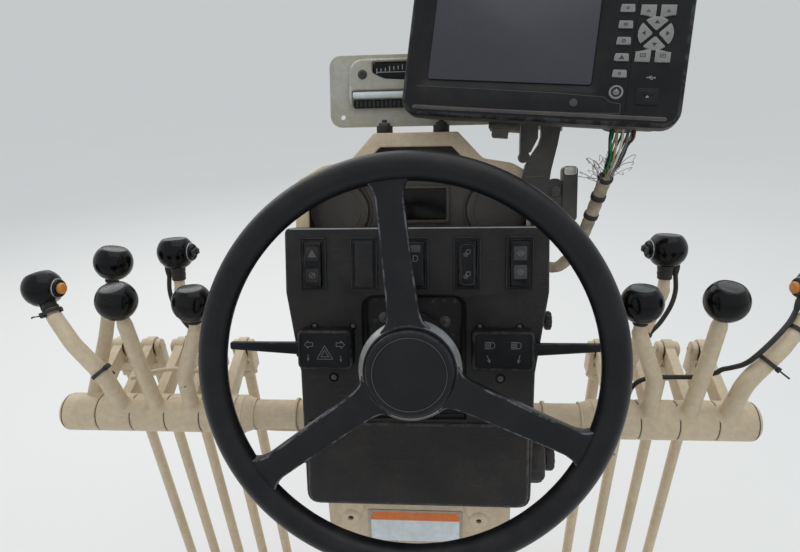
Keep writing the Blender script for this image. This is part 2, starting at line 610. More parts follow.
# A colour here is a setting's name, a setting made lighter or darker, a tone as it looks, or a grey.
# The amounts of dust and wear are those at the usual settings. After them come the colour of worn
# edges, the amount and colour of scratches, the roughness and its spread, then the grain's scale, its
# leather share and the bump, and last the values that only some finishes set.
RUST = (0.30, 0.22, 0.16)
FINISH_TABLE = (
    ("tan_paint", "paint", "paint_worn", 0.275, 0.5, (0.86, 0.80, 0.68), 0.25, RUST, 0.42, 0.2, 420, 0, 0.2,
     dict(dusty=("paint", 1.03, 0.01), stain=6, chips=RUST)),
    ("panel_plastic", "panel", (0.135, 0.118, 0.105), 0.099, 0.4, 0.36, 0.55, (0.27, 0.26, 0.24), 0.5, 0.2, 900,
     0.6, 0.35, dict(streak=0.5, specular=0.35)),
    ("black_plastic", "black", (0.06, 0.062, 0.075), 0.066, 0.5, (0.28, 0.29, 0.30), 0.25, None, 0.42, 0.15, 1100,
     0.3, 0.2, dict(specular=0.22)),
    ("case_plastic", (0.24, 0.225, 0.21), (0.20, 0.19, 0.18), 0.275, 0.5, (0.42, 0.39, 0.35), 0.3, None, 0.55, 0.15,
     900, 0.3),
    ("wheel_plastic", "wheel", ("wheel", 1.3), 0.055, 1.0, (0.36, 0.38, 0.41), 0.25, None, 0.34, 0.16, 1000, 0.8,
     0.25, dict(stain=14, streak=0.1, specular=0.28)),
    ("cap_plastic", ("black", 0.7), ("black", 0.9), 0.0275, 0.3, (0.25, 0.26, 0.28), 0.3, None, 0.42, 0.12, 900,
     0.2, 0.15, dict(specular=0.3)),
    ("ring_satin", (0.62, 0.64, 0.64), (0.48, 0.49, 0.49), 0.12, 0.5, None, 0.6, None, 0.32, 0.2, 600, 0, 0.2,
     dict(metal=0.6)),
    ("knob_gloss", "knob", ("knob", 1.3), 0.033, 0, None, 0.35, (0.16, 0.17, 0.19), 0.2, 0.1, 500, 0, 0.06,
     dict(coat=0.1, specular=0.16)),
    ("knob_top", (0.10, 0.11, 0.12), (0.07, 0.08, 0.09), 0.11, 0.5, (0.4, 0.42, 0.42), 0.6, (0.34, 0.36, 0.36),
     0.24, 0.15, 500, 0, 0.1),
    ("knob_top_satin", (0.24, 0.28, 0.27), (0.15, 0.18, 0.18), 0.11, 0.5, (0.4, 0.44, 0.43), 0.6,
     (0.36, 0.40, 0.39), 0.3, 0.2, 500, 0, 0.15),
    ("black_rubber", "rubber", ("rubber", 1.4), 0.165, 0.5, None, 0.2, None, 0.62, 0.15, 700, 0.2, 0.3),
    ("grey_rubber", "keys", ("keys", 0.85), 0.12, 0.35, (0.75, 0.75, 0.73), 0.2, (0.4, 0.4, 0.38), 0.55, 0.1, 900,
     0, 0.2),
    ("white_sign", "sign", ("sign", 0.86), 0.2, 0.5, (0.55, 0.53, 0.5), 0.3, (0.5, 0.48, 0.45), 0.32, 0.15, 500, 0,
     0.08),
    ("sign_band", "band", ("band", 0.8), 0.2, 0.3, (0.9, 0.8, 0.7), 0.35, (0.93, 0.75, 0.55), 0.34, 0.15, 500, 0,
     0.08),
    ("grey_paint", "meter", (0.63, 0.60, 0.50), 0.22, 0.5, (0.82, 0.82, 0.8), 0.35, (0.45, 0.43, 0.40), 0.4, 0.15,
     500, 0, 0.12, dict(stain=10, streak=0.4, chips=(0.40, 0.33, 0.22))),
    ("dark_steel", "steel", (0.26, 0.25, 0.23), 0.275, 0.5, (0.62, 0.60, 0.56), 0.5, (0.45, 0.44, 0.42), 0.45, 0.2,
     350, 0, 0.3, dict(depth=0.0003, metal=0.25)),
    ("bright_metal", (0.72, 0.71, 0.68), (0.58, 0.56, 0.52), 0.2, 0.5, None, 0.6, (0.85, 0.84, 0.82), 0.3, 0.2, 500,
     0, 0.15, dict(metal=0.85)),
    ("pod_grey", (0.30, 0.28, 0.26), (0.25, 0.235, 0.22), 0.22, 0.5, (0.44, 0.41, 0.37), 0.3, None, 0.5, 0.15, 700,
     0, 0.2),
    ("dark_glass", "glass", ("glass", 1.03), 0.03, 0, None, 0.06, None, 0.3, 0.04, 500, 0, 0.02,
     dict(stain=3, streak=0.1)),
    ("lamp_glass", (0.03, 0.033, 0.04), (0.05, 0.05, 0.055), 0.1, 0.3, None, 0.4, 0.12, 0.2, 0.12, 500, 0, 0.05,
     dict(specular=0.15)),
    ("lamp_lens", (0.24, 0.26, 0.24), (0.17, 0.19, 0.18), 0.1, 0.3, None, 0.3, None, 0.25, 0.1),
    ("loom_tape", "tape", (0.54, 0.50, 0.42), 0.22, 0.5, None, 0.2, None, 0.75, 0.1, 900, 0, 0.5,
     dict(depth=0.0004, stain=40, streak=0)),
    ("ink", (0.66, 0.68, 0.70), (0.52, 0.53, 0.54), 0.1, 0, None, 0.3, 0.2, 0.5, 0.1),
    ("rocker_ink", (0.46, 0.47, 0.48), (0.36, 0.36, 0.37), 0.1, 0, None, 0.3, None, 0.5, 0.1),
    ("dim_ink", (0.34, 0.35, 0.36), (0.26, 0.26, 0.27), 0.1, 0, None, 0.3, None, 0.5, 0.1),
    ("faint_ink", (0.22, 0.23, 0.23), 0.17, 0.1, 0, None, 0.3, None, 0.5, 0.1),
    ("dark_ink", (0.10, 0.10, 0.11), 0.16, 0.1, 0, None, 0.2, None, 0.5, 0.1),
    ("label_grey", (0.20, 0.21, 0.22), (0.16, 0.17, 0.18), 0.15, 0.4, None, 0.5, None, 0.4, 0.1),
    ("amber", (0.86, 0.56, 0.22), (0.72, 0.42, 0.14), 0.2, 0.3, (0.95, 0.75, 0.5), 0.2, None, 0.35, 0.1),
)
WIRES = {"white": (0.85, 0.85, 0.80), "orange": (0.62, 0.36, 0.16), "green": (0.13, 0.45, 0.26),
         "blue": (0.10, 0.27, 0.34), "grey": (0.42, 0.42, 0.42), "yellow": (0.66, 0.60, 0.42)}
WIRE_LOOK = (0.15, 0, None, 0.1, None, 0.45, 0.1)


def build_finishes(scene):
    build_groups()
    settings, sizes = scene.console_colours, scene.console_sizes

    def look(value):
        """The shader colour that the table means."""
        if value is None:
            return None
        if isinstance(value, str):
            return tuple(getattr(settings, value))
        if isinstance(value, float):
            return tone(value, value, value)
        if isinstance(value[0], str):
            return shade(look(value[0]), *value[1:])
        return tone(*value)

    rows = [(name, look(main), look(second), rest) for name, main, second, *rest in FINISH_TABLE]
    rows += [("wire_" + key, tone(*rgb), shade(tone(*rgb), 0.7), WIRE_LOOK) for key, rgb in WIRES.items()]
    for name, main, second, (dust, wear, worn, scratch, scratched, *rest) in rows:
        extra = dict(rest.pop()) if isinstance(rest[-1], dict) else {}
        dusty = look(extra.pop("dusty", "dust"))
        if "chips" in extra:
            extra["chips"] = look(extra["chips"])
        finish(name, main, second, dusty, dust * sizes.dust / DUST, wear * sizes.wear / WEAR, look(worn),
               scratch, look(scratched), *rest, **extra)
    if len(FINISHES) < len(rows):
        raise RuntimeError("the finishes are missing")


class CONSOLE_OT_finishes(Operator):
    """Makes the node groups and the finishes that all pieces share"""
    bl_idname = "console.finishes"
    bl_label = "Finishes"

    def execute(self, context):
        build_finishes(context.scene)
        return {"FINISHED"}


# The pieces: each build function belongs to the operator under it.

def icon(kind, size):
    """Lines of a small generic symbol, about size high."""
    s = size / 2
    ring = arc(0, 0, s * 0.75, 0, 360, 14)
    shapes = {
        "triangle": [[(-s, -0.8 * s), (s, -0.8 * s), (0, 0.9 * s), (-s, -0.8 * s)],
                     [(-0.5 * s, -0.5 * s), (0.5 * s, -0.5 * s), (0, 0.35 * s), (-0.5 * s, -0.5 * s)]],
        "ring": [ring, [(-0.5 * s, -0.5 * s), (0.5 * s, 0.5 * s)]],
        "lamp": [[(-0.1 * s, 0.9 * s), (0.7 * s, 0.9 * s), (0.8 * s, 0.1 * s), (0.2 * s, -0.3 * s),
                  (-0.4 * s, 0.2 * s), (-0.1 * s, 0.9 * s)], [(-0.2 * s, -0.2 * s), (-0.9 * s, -0.9 * s)],
                 [(0, -0.4 * s), (-0.3 * s, -1.0 * s)], [(-0.5 * s, 0), (-1.1 * s, -0.4 * s)]],
        "wiper": [ring, [(-s, 0), (-0.4 * s, 0.2 * s)], [(s, 0), (0.4 * s, 0.2 * s)],
                  [(-0.3 * s, -0.3 * s), (0, 0.3 * s), (0.3 * s, -0.3 * s)]],
        "box": [[(-0.8 * s, -0.5 * s), (0.8 * s, -0.5 * s), (0.8 * s, 0.5 * s), (-0.8 * s, 0.5 * s),
                 (-0.8 * s, -0.5 * s)], [(-0.3 * s, 0), (0.3 * s, 0)]],
        "arrow": [[(0.9 * s, 0), (0.1 * s, 0.8 * s), (0.1 * s, 0.4 * s), (-0.9 * s, 0.4 * s), (-0.9 * s, -0.4 * s),
                   (0.1 * s, -0.4 * s), (0.1 * s, -0.8 * s), (0.9 * s, 0)]],
        "down": [[(0, s), (0, -0.8 * s)], [(-0.3 * s, -0.3 * s), (0, -s), (0.3 * s, -0.3 * s)]],
        "beam": [arc(0.1 * s, 0, 0.8 * s, -90, 90, 8) + [(-0.2 * s, 0.8 * s), (-0.2 * s, -0.8 * s),
                                                        (0.1 * s, -0.8 * s)]]
        + [[(-1.5 * s, y * s), (-0.45 * s, y * s)] for y in (-0.8, -0.4, 0, 0.4, 0.8)],
        "tip": [[(-0.5 * s, -0.35 * s), (0, 0.4 * s), (0.5 * s, -0.35 * s), (-0.5 * s, -0.35 * s)]],
        "dot": [arc(0, 0, s * 0.55, 0, 360, 10)],
        "tank": [arc(0, 0, s * 0.8, -90, 90, 8) + [(-0.5 * s, 0.8 * s), (-0.5 * s, -0.8 * s), (0, -0.8 * s)]],
        "power": [arc(0, 0, 0.7 * s, 125, 415, 10), [(0, 0), (0, s)]],
        "plug": [[(-1.6 * s, 0), (1.4 * s, 0)], [(-0.9 * s, 0), (-0.3 * s, 0.6 * s), (0.4 * s, 0.6 * s)],
                 [(-0.4 * s, 0), (0.1 * s, -0.6 * s), (0.7 * s, -0.6 * s)],
                 [(1.4 * s, 0.25 * s), (1.7 * s, 0), (1.4 * s, -0.25 * s), (1.4 * s, 0.25 * s)]],
    }
    return shapes[kind]


def bead(mould, path, radius, seed=0.0, loop=False):
    """A weld seam along a path, with the ripples of its passes."""
    dense = split([Vector(p) for p in path], 1.6, loop)
    radii = [radius * (0.92 + 0.14 * sin(2.3 * i) + 0.22 * noise.noise(p * 0.21 + Vector((seed, 3.1, 7.7))))
             for i, p in enumerate(dense)]
    mould.tube(dense, radii, 7, loop, dome=0.7)


def build_floor_mount(scene):
    sizes = scene.console_sizes
    edge, weld = sizes.plate_edge / MM, sizes.weld_bead / MM
    ear_in, ear_out, plate_top, pivot_z = 121, 133, 12, 62
    mould = Mould().solid("base_plate").soften(edge * 1.3)
    for side in (-1, 1):
        mould.place = Matrix()
        for x in (ear_in, ear_out):
            bead(mould, [(side * x, -29, plate_top), (side * x, 29, plate_top)], weld * 1.3, x)
        mould.place = at(side * (ear_out + 1.5), 0, pivot_z) @ turned(90 * side, "Y")
        mould.lathe([(0, -2), (17, -2), (17, 0.4), (16, 1.2), (0, 1.2)], 28)
        mould.place = at(side * ear_out, 0, 38) @ turned(90 * side, "Y")
        mould.box(8, 34, -1, 3, 2, 0.6, -3, 0)
        mould.screw(at(side * (ear_out + 2), 9, 41) @ turned(90 * side, "Y"), 5, 4)
    make(mould, "floor_plate", ["tan_paint"], "base", ["base_plate"])

    mould = Mould().solid("pedestal").soften(edge * 1.6)
    make(mould, "pedestal_box", ["tan_paint"], "console", ["pedestal"])
    covers, heads = Mould(), Mould()
    # Round bosses with sunk screws hold the panel's foot by its two tabs.
    bolt_x, bolt_z, boss_r, socket_r, tab_top = 83.4, 534, 11.6, 3.7, 572
    for side in (-1, 1):
        place = at(side * bolt_x - 5.5, PANEL_FRONT_Y, bolt_z) @ turned(90, "X")
        covers.place = place
        covers.lathe([(0, -0.5), (boss_r + 1.6, -0.5), (boss_r + 1.2, 1.6), (boss_r - 0.6, 3.2), (boss_r - 2, 4.6),
                      (boss_r - 3.4, 5.2), (socket_r + 1.4, 5.2), (socket_r, 4.4), (socket_r, 0.6), (0, 0.6)], 36,
                     rims=[0, 0, 0, 1, 1, 0, 1, 0, 0])
        tall = tab_top - bolt_z
        covers.prism(bend([(-21, tall), (-15, 3), (15, 3), (21, tall)], [0, 12, 12, 0], 6, True), -0.5, 1.8, 0.7)
        heads.place = place
        heads.lathe([(0, 0.4), (socket_r - 0.05, 0.4), (socket_r - 0.05, 1.1), (0, 1.3)], 20)
        covers.place = at(side * 117.6, 12, 330) @ turned(90 * side, "Y")
        covers.box(150, 46, -0.5, 1.6, 5, 0.6)
        for x, y in ((-66, -15), (66, -15), (-66, 15), (66, 15)):
            heads.screw(covers.place @ at(x, y, 1.2), 4, 3, "socket")
    make(covers, "pedestal_covers", ["tan_paint"], "console")
    make(heads, "pedestal_bolts", ["dark_steel"], "console")

    low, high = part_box("sign_plate")
    cx, cz = (low.x + high.x) / 2 / MM, (low.z + high.z) / 2 / MM
    plate = Mould(at(cx, PANEL_FRONT_Y, cz) @ turned(90, "X"))
    plate.prism(rounded_rect(124, 54, 3), 0, 1.4, 0.3)
    plate.mat = 1
    plate.prism(rounded_rect(116, 13, 1, 0, 17.5), 1.2, 1.48)
    plate.mat = 2
    plate.prism(rounded_rect(116, 35.5, 1, 0, -7.5), 1.2, 1.46)
    plate.mat = 3
    for x in (-57, 57):
        plate.place = at(cx + x, PANEL_FRONT_Y - 1.2, cz + 22.5) @ turned(90, "X")
        plate.lathe([(0, 0), (2.2, 0), (2.0, 0.6), (1.2, 1.1), (0, 1.25)], 14)
    make(plate, "sign", ["grey_paint", "sign_band", "white_sign", "bright_metal"], "console", ["sign_plate"])


class CONSOLE_OT_floor_mount(Operator):
    """Builds the floor plate, the pedestal and its sign plate"""
    bl_idname = "console.floor_mount"
    bl_label = "Floor mount"

    def execute(self, context):
        build_floor_mount(context.scene)
        return {"FINISHED"}


PANEL_SIDE = [(139, -211), (142, -40), (157, 59), (156, 136)]
# The panel's window is square at its foot and rounded at its top.
WINDOW = [(60, -98), (60, 55), (-65, 55), (-65, -98)]
WINDOW_RADII = [1, 18, 18, 1]


def build_panel(scene):
    sizes = scene.console_sizes
    edge, mould_edge = sizes.plate_edge / MM, sizes.mould_edge / MM
    mould = Mould().solid("housing").soften(edge)
    screws = Mould()
    # A cover closes the housing's back, and screws hold the panel at the sides.
    mould.place = FACE @ at(0, -60, -120) @ turned(180, "Y")
    mould.prism(rounded_rect(230, 200, 10), -0.5, 2, 0.7)
    for x in (-105, 0, 105):
        for y in (-90, 90):
            screws.screw(mould.place @ at(x, y, 1.6), 4.2, 3.2)
    for side in (-1, 1):
        for v, x in ((98, 154), (20, 149), (-60, 140.5), (-150, 138)):
            screws.screw(FACE @ at(side * (x - 0.9), v, -30) @ turned(90 * side, "Y"), 4, 3, "socket")
    make(mould, "housing_shell", ["tan_paint"], "console", ["housing"])
    make(screws, "housing_screws", ["dark_steel"], "console")

    depth, wall = 22, 4
    cover = Mould(FACE)
    outline = bend(PANEL_SIDE + [(-x, y) for x, y in PANEL_SIDE[::-1]], [17, 30, 40, 7, 7, 40, 30, 17], 5, True)
    cover.prism(outline, -depth, 0, mould_edge, 0, 4)
    cutter = Mould(FACE)
    cutter.prism(inset(outline, wall), -depth - 4, -wall)
    cutter.draw(bend(WINDOW, WINDOW_RADII, 6, True), ((0, -depth), (0, -1.6), (-0.5, -0.6), (-1.6, 0), (-1.6, 3)))
    make(cover, "switch_panel", ["panel_plastic"], "console", ["face_panel"], cutter=cutter)

    # Knee pad: a slightly crowned moulding with a shelf at its top
    pad_top, pad_low, half = -102, -208, 136
    pad = Mould(FACE @ at(0, (pad_top + pad_low) / 2, 0))
    tall = (pad_top - pad_low) / 2
    pad_line = bend([(half, -tall), (half, tall), (-half, tall), (-half, -tall)], [16, 5, 5, 16], 6, True)
    rows = [[(p.x, p.y, z) for p in inset(pad_line, d)]
            for d, z in ((0, -1), (0, 2.2), (0.5, 3.4), (1.6, 4.4), (3.2, 4.9))]
    inner = inset(pad_line, 3.2)
    rows += [[(p.x * k, p.y * k, 4.9 + 1.1 * (1 - k * k)) for p in inner] for k in (0.93, 0.82, 0.64, 0.4, 0.15)]
    pad.rings(rows, [0, 1, 1, 1] + [0] * 5)
    for u, v, r in ((-123, 17.5, 4.6), (-76, 17.5, 4.6), (76, 17.5, 4.6), (123, 17.5, 4.6),
                    (-101, -46, 6.2), (101, -46, 6.2)):
        pad.place, pad.mat = FACE @ at(u, v, 0), 1
        pad.lathe([(0, -0.5), (r, -0.5), (r, 0.35), (r - 0.5, 0.5), (r - 1.3, 0.5), (r - 1.6, 0.15), (0, 0.15)], 24)
        pad.mat = 2
        pad.lathe([(0, 0), (r * 0.56, 0), (r * 0.54, 0.8), (r * 0.4, 1.1), (r * 0.16, 1.1), (r * 0.12, 0.5),
                   (0, 0.5)], 20)
    # The panel's top edge catches the light as a thin line.
    pad.place = FACE
    pad.mat = 3
    pad.strokes([[(-149, 135.2), (149, 135.2)]], 1.3, -2.2, 0.25)
    make(pad, "knee_pad", ["panel_plastic", "lamp_glass", "dim_ink", "ink"], "console")

    tray = Mould().solid("indicator_panel").soften(0.5)
    tray.mat = 1
    low, lens = -13.2, -12.2
    tray.place = FACE
    tray.prism(rounded_rect(116, 138, 12, -2.5, -18), low, lens, 0.4)
    tray.mat = 2
    marks = [("ring", -50, 47, 6), ("wiper", -36, 47, 6), ("box", -22, 47, 6), ("lamp", 22, 47, 6),
             ("box", 34, 47, 6), ("triangle", 47, 47, 6), ("box", -50, 22, 6), ("lamp", -36, 8, 6),
             ("box", 44, 4, 6), ("ring", -47, -14, 6), ("box", -47, -30, 6), ("beam", 44, -24, 4)]
    for kind, u, v, size in marks:
        tray.place = FACE @ at(u, v, 0)
        tray.strokes(icon(kind, size), 0.7, lens - 0.1, lens + 0.12)
    tray.mat = 3
    for u, v in ((35, 21), (-39, 26)):
        tray.place = FACE @ at(u, v, lens)
        tray.lathe([(0, -0.5), (7, -0.5), (7, 0.6), (6.2, 1.0), (5.6, 0.8), (4, 1.4), (0, 1.8)], 28)
    # A black slot under the hub, and the window's sill
    tray.place = FACE
    tray.mat = 1
    tray.box(34, 12, -9, -5, 1.5, 0.5, 40, -90)
    tray.mat = 0
    tray.prism(rounded_rect(122, 5, 1, -2.5, -95), -12.5, -3.6, 0.6)
    make(tray, "lamp_window", ["black_plastic", "lamp_glass", "faint_ink", "lamp_lens"], "console",
         ["indicator_panel"])


class CONSOLE_OT_panel(Operator):
    """Builds the steel housing, the moulded switch panel, its lamp window and its knee pad"""
    bl_idname = "console.panel"
    bl_label = "Housing and panel"

    def execute(self, context):
        build_panel(context.scene)
        return {"FINISHED"}


def build_switches(scene):
    pitch, rocker_v = 61, 93
    icons = {-2: (("triangle", 13), ("ring", -12.5)), 0: (("tank", 7),), 1: (("lamp", 13), ("lamp", -12.5)),
             2: (("wiper", 12.5), ("wiper", -9))}
    mould = Mould()
    for i in range(-2, 3):
        here = FACE @ at(i * pitch, rocker_v, 0)
        mould.place, mould.mat = here, 0
        line = rounded_rect(30.4, 62.4, 2)
        # The bezel is flat with one thin raised line round its opening.
        mould.slab(32, 64, 2.5, ((0, -0.4), (0, 1.6), (0.4, 2.2), (1.2, 2.4), (3.6, 2.4), (3.9, 3.2), (4.6, 3.4),
                                 (5.0, 3.0), (5.2, 0.6)), [0, 1, 1, 0, 0, 1, 0, 0])
        mould.mat = 5
        mould.strokes([line + line[:1]], 0.55, 2.0, 2.6)
        mould.mat = 0
        if i == -1:
            mould.mat = 1
            mould.prism(rounded_rect(21.6, 53.6, 1), 0, 4.2, 0.5)
            continue
        wide, half = (21.4 if i == 2 else 20.4), 26.5
        # The rocker rests on one side: its face is two shallow slopes that meet in the middle.
        side = [(-half, 0.5), (-half, 9.6), (-half + 0.8, 10.8), (-half + 2.2, 11.3), (-8, 8.6), (0, 7.4), (9, 6.6),
                (half - 2, 5.8), (half - 0.7, 5.2), (half, 4.2), (half, 0.5)]
        rows = []
        for x, pull in ((-wide / 2, 1.2), (-wide / 2 + 0.35, 0.4), (-wide / 2 + 1.2, 0.0),
                        (wide / 2 - 1.2, 0.0), (wide / 2 - 0.35, 0.4), (wide / 2, 1.2)):
            rows.append([(x, y * (1 - 0.02 * pull), max(0.5, z - pull)) for y, z in side])
        mould.rings(rows, [1, 1, 0, 1, 1])
        # The face is hollow, so a mark sits on the chord under it.
        levels = ((-24.3, 11.3), (-8, 8.6), (0, 7.4), (9, 6.6), (24.5, 5.8))

        def on_face(low, high):
            """The place of the chord between two heights up the rocker's face."""
            heights = []
            for y in (low, high):
                for (y0, z0), (y1, z1) in zip(levels, levels[1:]):
                    if y0 <= y <= y1:
                        heights.append(z0 + (z1 - z0) * (y - y0) / (y1 - y0))
            return (here @ at(0, (low + high) / 2, sum(heights) / 2 + 0.1)
                    @ turned(degrees(atan2(heights[1] - heights[0], high - low)), "X"))

        if i == 1:
            # One thin light outline goes round both symbols.
            for way in (1, -1):
                low, high = sorted((0, 23 * way))
                half_line = rounded_rect(15, 46, 4, 0, -11.5 * way)
                inside = [p for p in half_line if way * p[1] > -11.5]
                inside.sort(key=lambda p: atan2(p[0], way * p[1] + 11.5))
                mould.place, mould.mat = on_face(low, high), 2
                mould.strokes([[(-7.5, -11.5 * way)] + inside + [(7.5, -11.5 * way)]], 0.6, -0.3, 0.2)
        if i == 0:
            mould.place, mould.mat = on_face(14, 23), 2
            mould.prism(rounded_rect(13, 8.5, 1.5), -1.0, 0.3, 0.2)
        if i == 2:
            # The foot of this rocker is a glossy black bar.
            mould.place, mould.mat = on_face(-24, -17.5), 4
            mould.prism(rounded_rect(19, 6, 1), -0.8, 0.6, 0.15)
        for kind, y in icons[i]:
            mould.place = on_face(y - 5, y + 5)
            if i in (-2, 2):
                mould.mat = 1 if i < 0 else 2
                mould.prism(rounded_rect(15, 16, 1), -1.0, 0.15, 0.1)
            mould.mat = 3
            mould.strokes(icon(kind, 8.5), 0.75, 0.05, 0.3)
    make(mould, "rockers", ["black_plastic", "panel_plastic", "label_grey", "rocker_ink", "lamp_glass",
                            "faint_ink"], "console", ["rocker_switches"])

    box_h, stalk_v, reach = 47, -7, 84
    for side, word, box_x, box_w in ((-1, "left", 107, 66), (1, "right", 102, 72)):
        here = FACE @ at(side * box_x, stalk_v, 0)
        stalk = Mould(here)
        stalk.slab(box_w, box_h, 7, ((0, -0.5), (0, 18.5), (0.5, 20.4), (1.6, 21.6), (3.2, 22), (4.2, 22),
                                     (4.5, 21.6), (5.0, 21.6), (5.3, 21.9), (8.0, 21.9)),
                   [0, 1, 1, 1, 0, 0, 0, 0, 0])
        # The flat tapered blade; its upper edge is level and its lower edge rises
        stalk.place = FACE @ at(0, stalk_v, 11)
        end = box_x + box_w / 2
        inner, tip = end - 3, end + reach
        blade = bend([(side * inner, 7.5), (side * inner, -7.5), (side * tip, -1.5), (side * tip, 7.5)],
                     [0, 0, 2.6, 2.6], 4, True)
        stalk.prism(ccw(blade), -4, 4, 1.6, 1.6, 3)
        stalk.place = FACE @ at(side * end, stalk_v, 11)
        stalk.prism(rounded_rect(5, 19, 2), -6, 6, 1, 1)
        stalk.mat = 1
        if side < 0:
            marks = (("arrow", -19, 7, 11, 180), ("arrow", 19, 7, 11, 0), ("triangle", 0, -3, 19, 0),
                     ("down", -20, -9, 7, 0), ("down", 19, -10, 7, 0))
        else:
            marks = (("beam", -14, 7, 9.5, 0), ("beam", 16, 7, 9.5, 0), ("down", -17, -9, 9, 20),
                     ("down", 18, -9, 9, -12))
        for kind, x, y, size, spin in marks:
            stalk.place = here @ at(x, y, 0) @ turned(spin, "Z")
            stalk.strokes(icon(kind, size), 0.7, 21.7, 22.0)
        make(stalk, "stalk_" + word, ["black_plastic", "rocker_ink"], "console", [word + "_stalk"])


class CONSOLE_OT_switches(Operator):
    """Builds the rocker switches and the two stalk switches"""
    bl_idname = "console.switches"
    bl_label = "Switches"

    def execute(self, context):
        build_switches(context.scene)
        return {"FINISHED"}


def build_wheel(scene):
    column = Mould(FACE)
    bore, r = 12.05, 32
    column.lathe([(bore, -116), (r, -116), (r, -6), (r - 1.5, -5), (r - 1.5, 1), (r, 2), (r, 26), (r - 3, 29),
                  (r - 3, 36), (r - 1, 38), (r - 1, 44), (r - 3, 46), (r - 3, 52), (r, 54), (r, 73.5),
                  (r - 1.5, 75), (bore, 75)], 48, True)
    column.mat = 1
    for a in range(3):
        column.screw(FACE @ turned(120 * a + 40, "Z") @ at(r - 3.4, 0, 32.5) @ turned(90, "Y"), 3, 2.6, "socket")
    make(column, "column", ["panel_plastic", "dark_steel"], "console", ["steering_column"])

    reach, turn, wheel_r, rim_r = 125, 6, 215, 14.5
    place = FACE @ at(0, 0, reach) @ turned(turn, "Z")
    wheel = Mould(place)
    centre = wheel_r - rim_r
    steps, around = 168, 26
    rows = []
    for k in range(steps):
        a = 2 * pi * k / steps
        ring = []
        for j in range(around):
            b = 2 * pi * j / around
            # Shallow finger grips run along the rim's back.
            q = rim_r - 0.45 * max(0.0, -sin(b)) ** 2 * (0.5 + 0.5 * cos(42 * a))
            ring.append(((centre + q * cos(b)) * cos(a), (centre + q * cos(b)) * sin(a), q * sin(b)))
        rows.append(ring)
    wheel.rings(rows, loop=True)
    # Spokes with round fillets at the rim and at the hub
    spoke_edge = [(25, 42), (18.4, 48.5), (16.2, 58), (15.2, 75), (13.9, 140), (13.6, 172), (15.6, 181), (20, 187.5),
                 (27, 192.5), (31, 197)]
    for k in range(3):
        wheel.place = place @ turned(120 * k, "Z")
        line = bend(spoke_edge, 12, 4)
        outline = [(p.x, p.y) for p in line] + [(-p.x, p.y) for p in line[::-1]]
        wheel.prism(outline, -7, 7, 1.6, 1.6, 3)
    wheel.place = place
    wheel.lathe([(0, -45), (47, -45), (49, -43), (49, 1), (0, 1)], 64)
    wheel.lathe([(0, -100), (11.4, -100), (12, -99.2), (12, -40), (0, -40)], 28)
    wheel.mat = 1
    wheel.lathe([(0, -3), (51.0, -3), (52, -2), (51.6, 0.8), (47.0, 7.0), (0, 7.0)], 96, rims=[0, 1, 0, 0, 0])
    wheel.mat = 0
    wheel.lathe([(0, 6), (46.8, 6), (46.8, 7.2), (46, 8.0), (45, 8.2), (44.6, 7.4), (0, 7.4)], 96)
    make(wheel, "wheel_rim", ["wheel_plastic", "ring_satin"], "wheel", ["steering_wheel"])

    cap = Mould(place @ at(0, 0, 8))
    cap.lathe([(0, -0.2), (44, -0.2), (44, 4), (43.2, 5.6), (41.5, 7.0), (39.5, 7.8), (37.6, 8.1), (37.1, 7.6),
               (36.1, 7.6), (35.6, 8.4), (30, 9.0), (24, 9.4), (16, 9.8), (8, 10), (0, 10)], 96,
              rims=[0, 0, 1, 1, 0, 0, 1, 0, 1, 0, 0, 0, 0, 0])
    cap.mat = 1
    cap.lathe([(36.3, 7.2), (36.95, 7.2), (36.95, 7.95), (36.3, 7.95)], 96, True)
    make(cap, "hub_cap", ["cap_plastic", "dim_ink"], "wheel", ["wheel_cap"])


class CONSOLE_OT_wheel(Operator):
    """Builds the steering column, the wheel and its cap"""
    bl_idname = "console.wheel"
    bl_label = "Steering wheel"

    def execute(self, context):
        build_wheel(context.scene)
        return {"FINISHED"}


# The levers' bars, each point as the shift inboard, y and height from the tube's axis. The last
# point is the knob's middle. The cables are given in the same way.
SHAPE_E = [(8, 9, 19), (33, 28, 103), (50, 37, 166), (58, 42, 202)]
SHAPE_A = [(12, -12, 18), (12, -34, 78), (-22, -28, 120), (-50, -10, 148), (-66, 4, 182)]
SHAPE_B = [(12, -12, 18), (8, -24, 92), (5, -30, 148), (4, -34, 182)]
SHAPE_C = [(12, -12, 18), (16, -22, 73), (42, -24, 137), (43, -22, 174)]
SHAPE_D = [(5, 9, 19), (-26, 40, 84), (-60, 67, 151), (-61, 76, 203)]
CABLE_FRONT = [(-45.9, -3.2, 170.2), (-38.7, -9.4, 155), (-27, -21, 147), (-11, -29, 131.5), (5.5, -32, 112.5),
               (13.5, -26.5, 98.5), (21, -15, 86.5), (27, -7, 79), (30.5, -4, 73)]
CABLE_BACK = [(-68.5, 0.8, 158), (-61.3, -5.4, 142.7), (-49, -11.5, 125), (-32.5, -20, 109.5), (-17, -22, 94),
              (-7, -19.5, 82), (-1, -10.5, 70), (3, -2.5, 62)]
CABLE_HANG = [(-73.6, 72.5, 182.6), (-73.4, 70.8, 172.7), (-76, 68.5, 150), (-71, 63.5, 130), (-59, 57.5, 110),
              (-46.5, 52.5, 97), (-41, 49, 87)]
BANK_X = {-1: 240, 1: 230}
LEVER_PITCH, SLEEVE_R, TUBE_R, SLEEVE_GAP = 47, 25, 19, 1
ARM_REACH, ARM_RISE, ARM_T, EYE_R, EYE_BORE = 110, 41, 13, 14, 6.05
KNOB_FOOT, KNOB_FLAT, KNOB_R, NECK_R = 20, 18.5, 24, 7


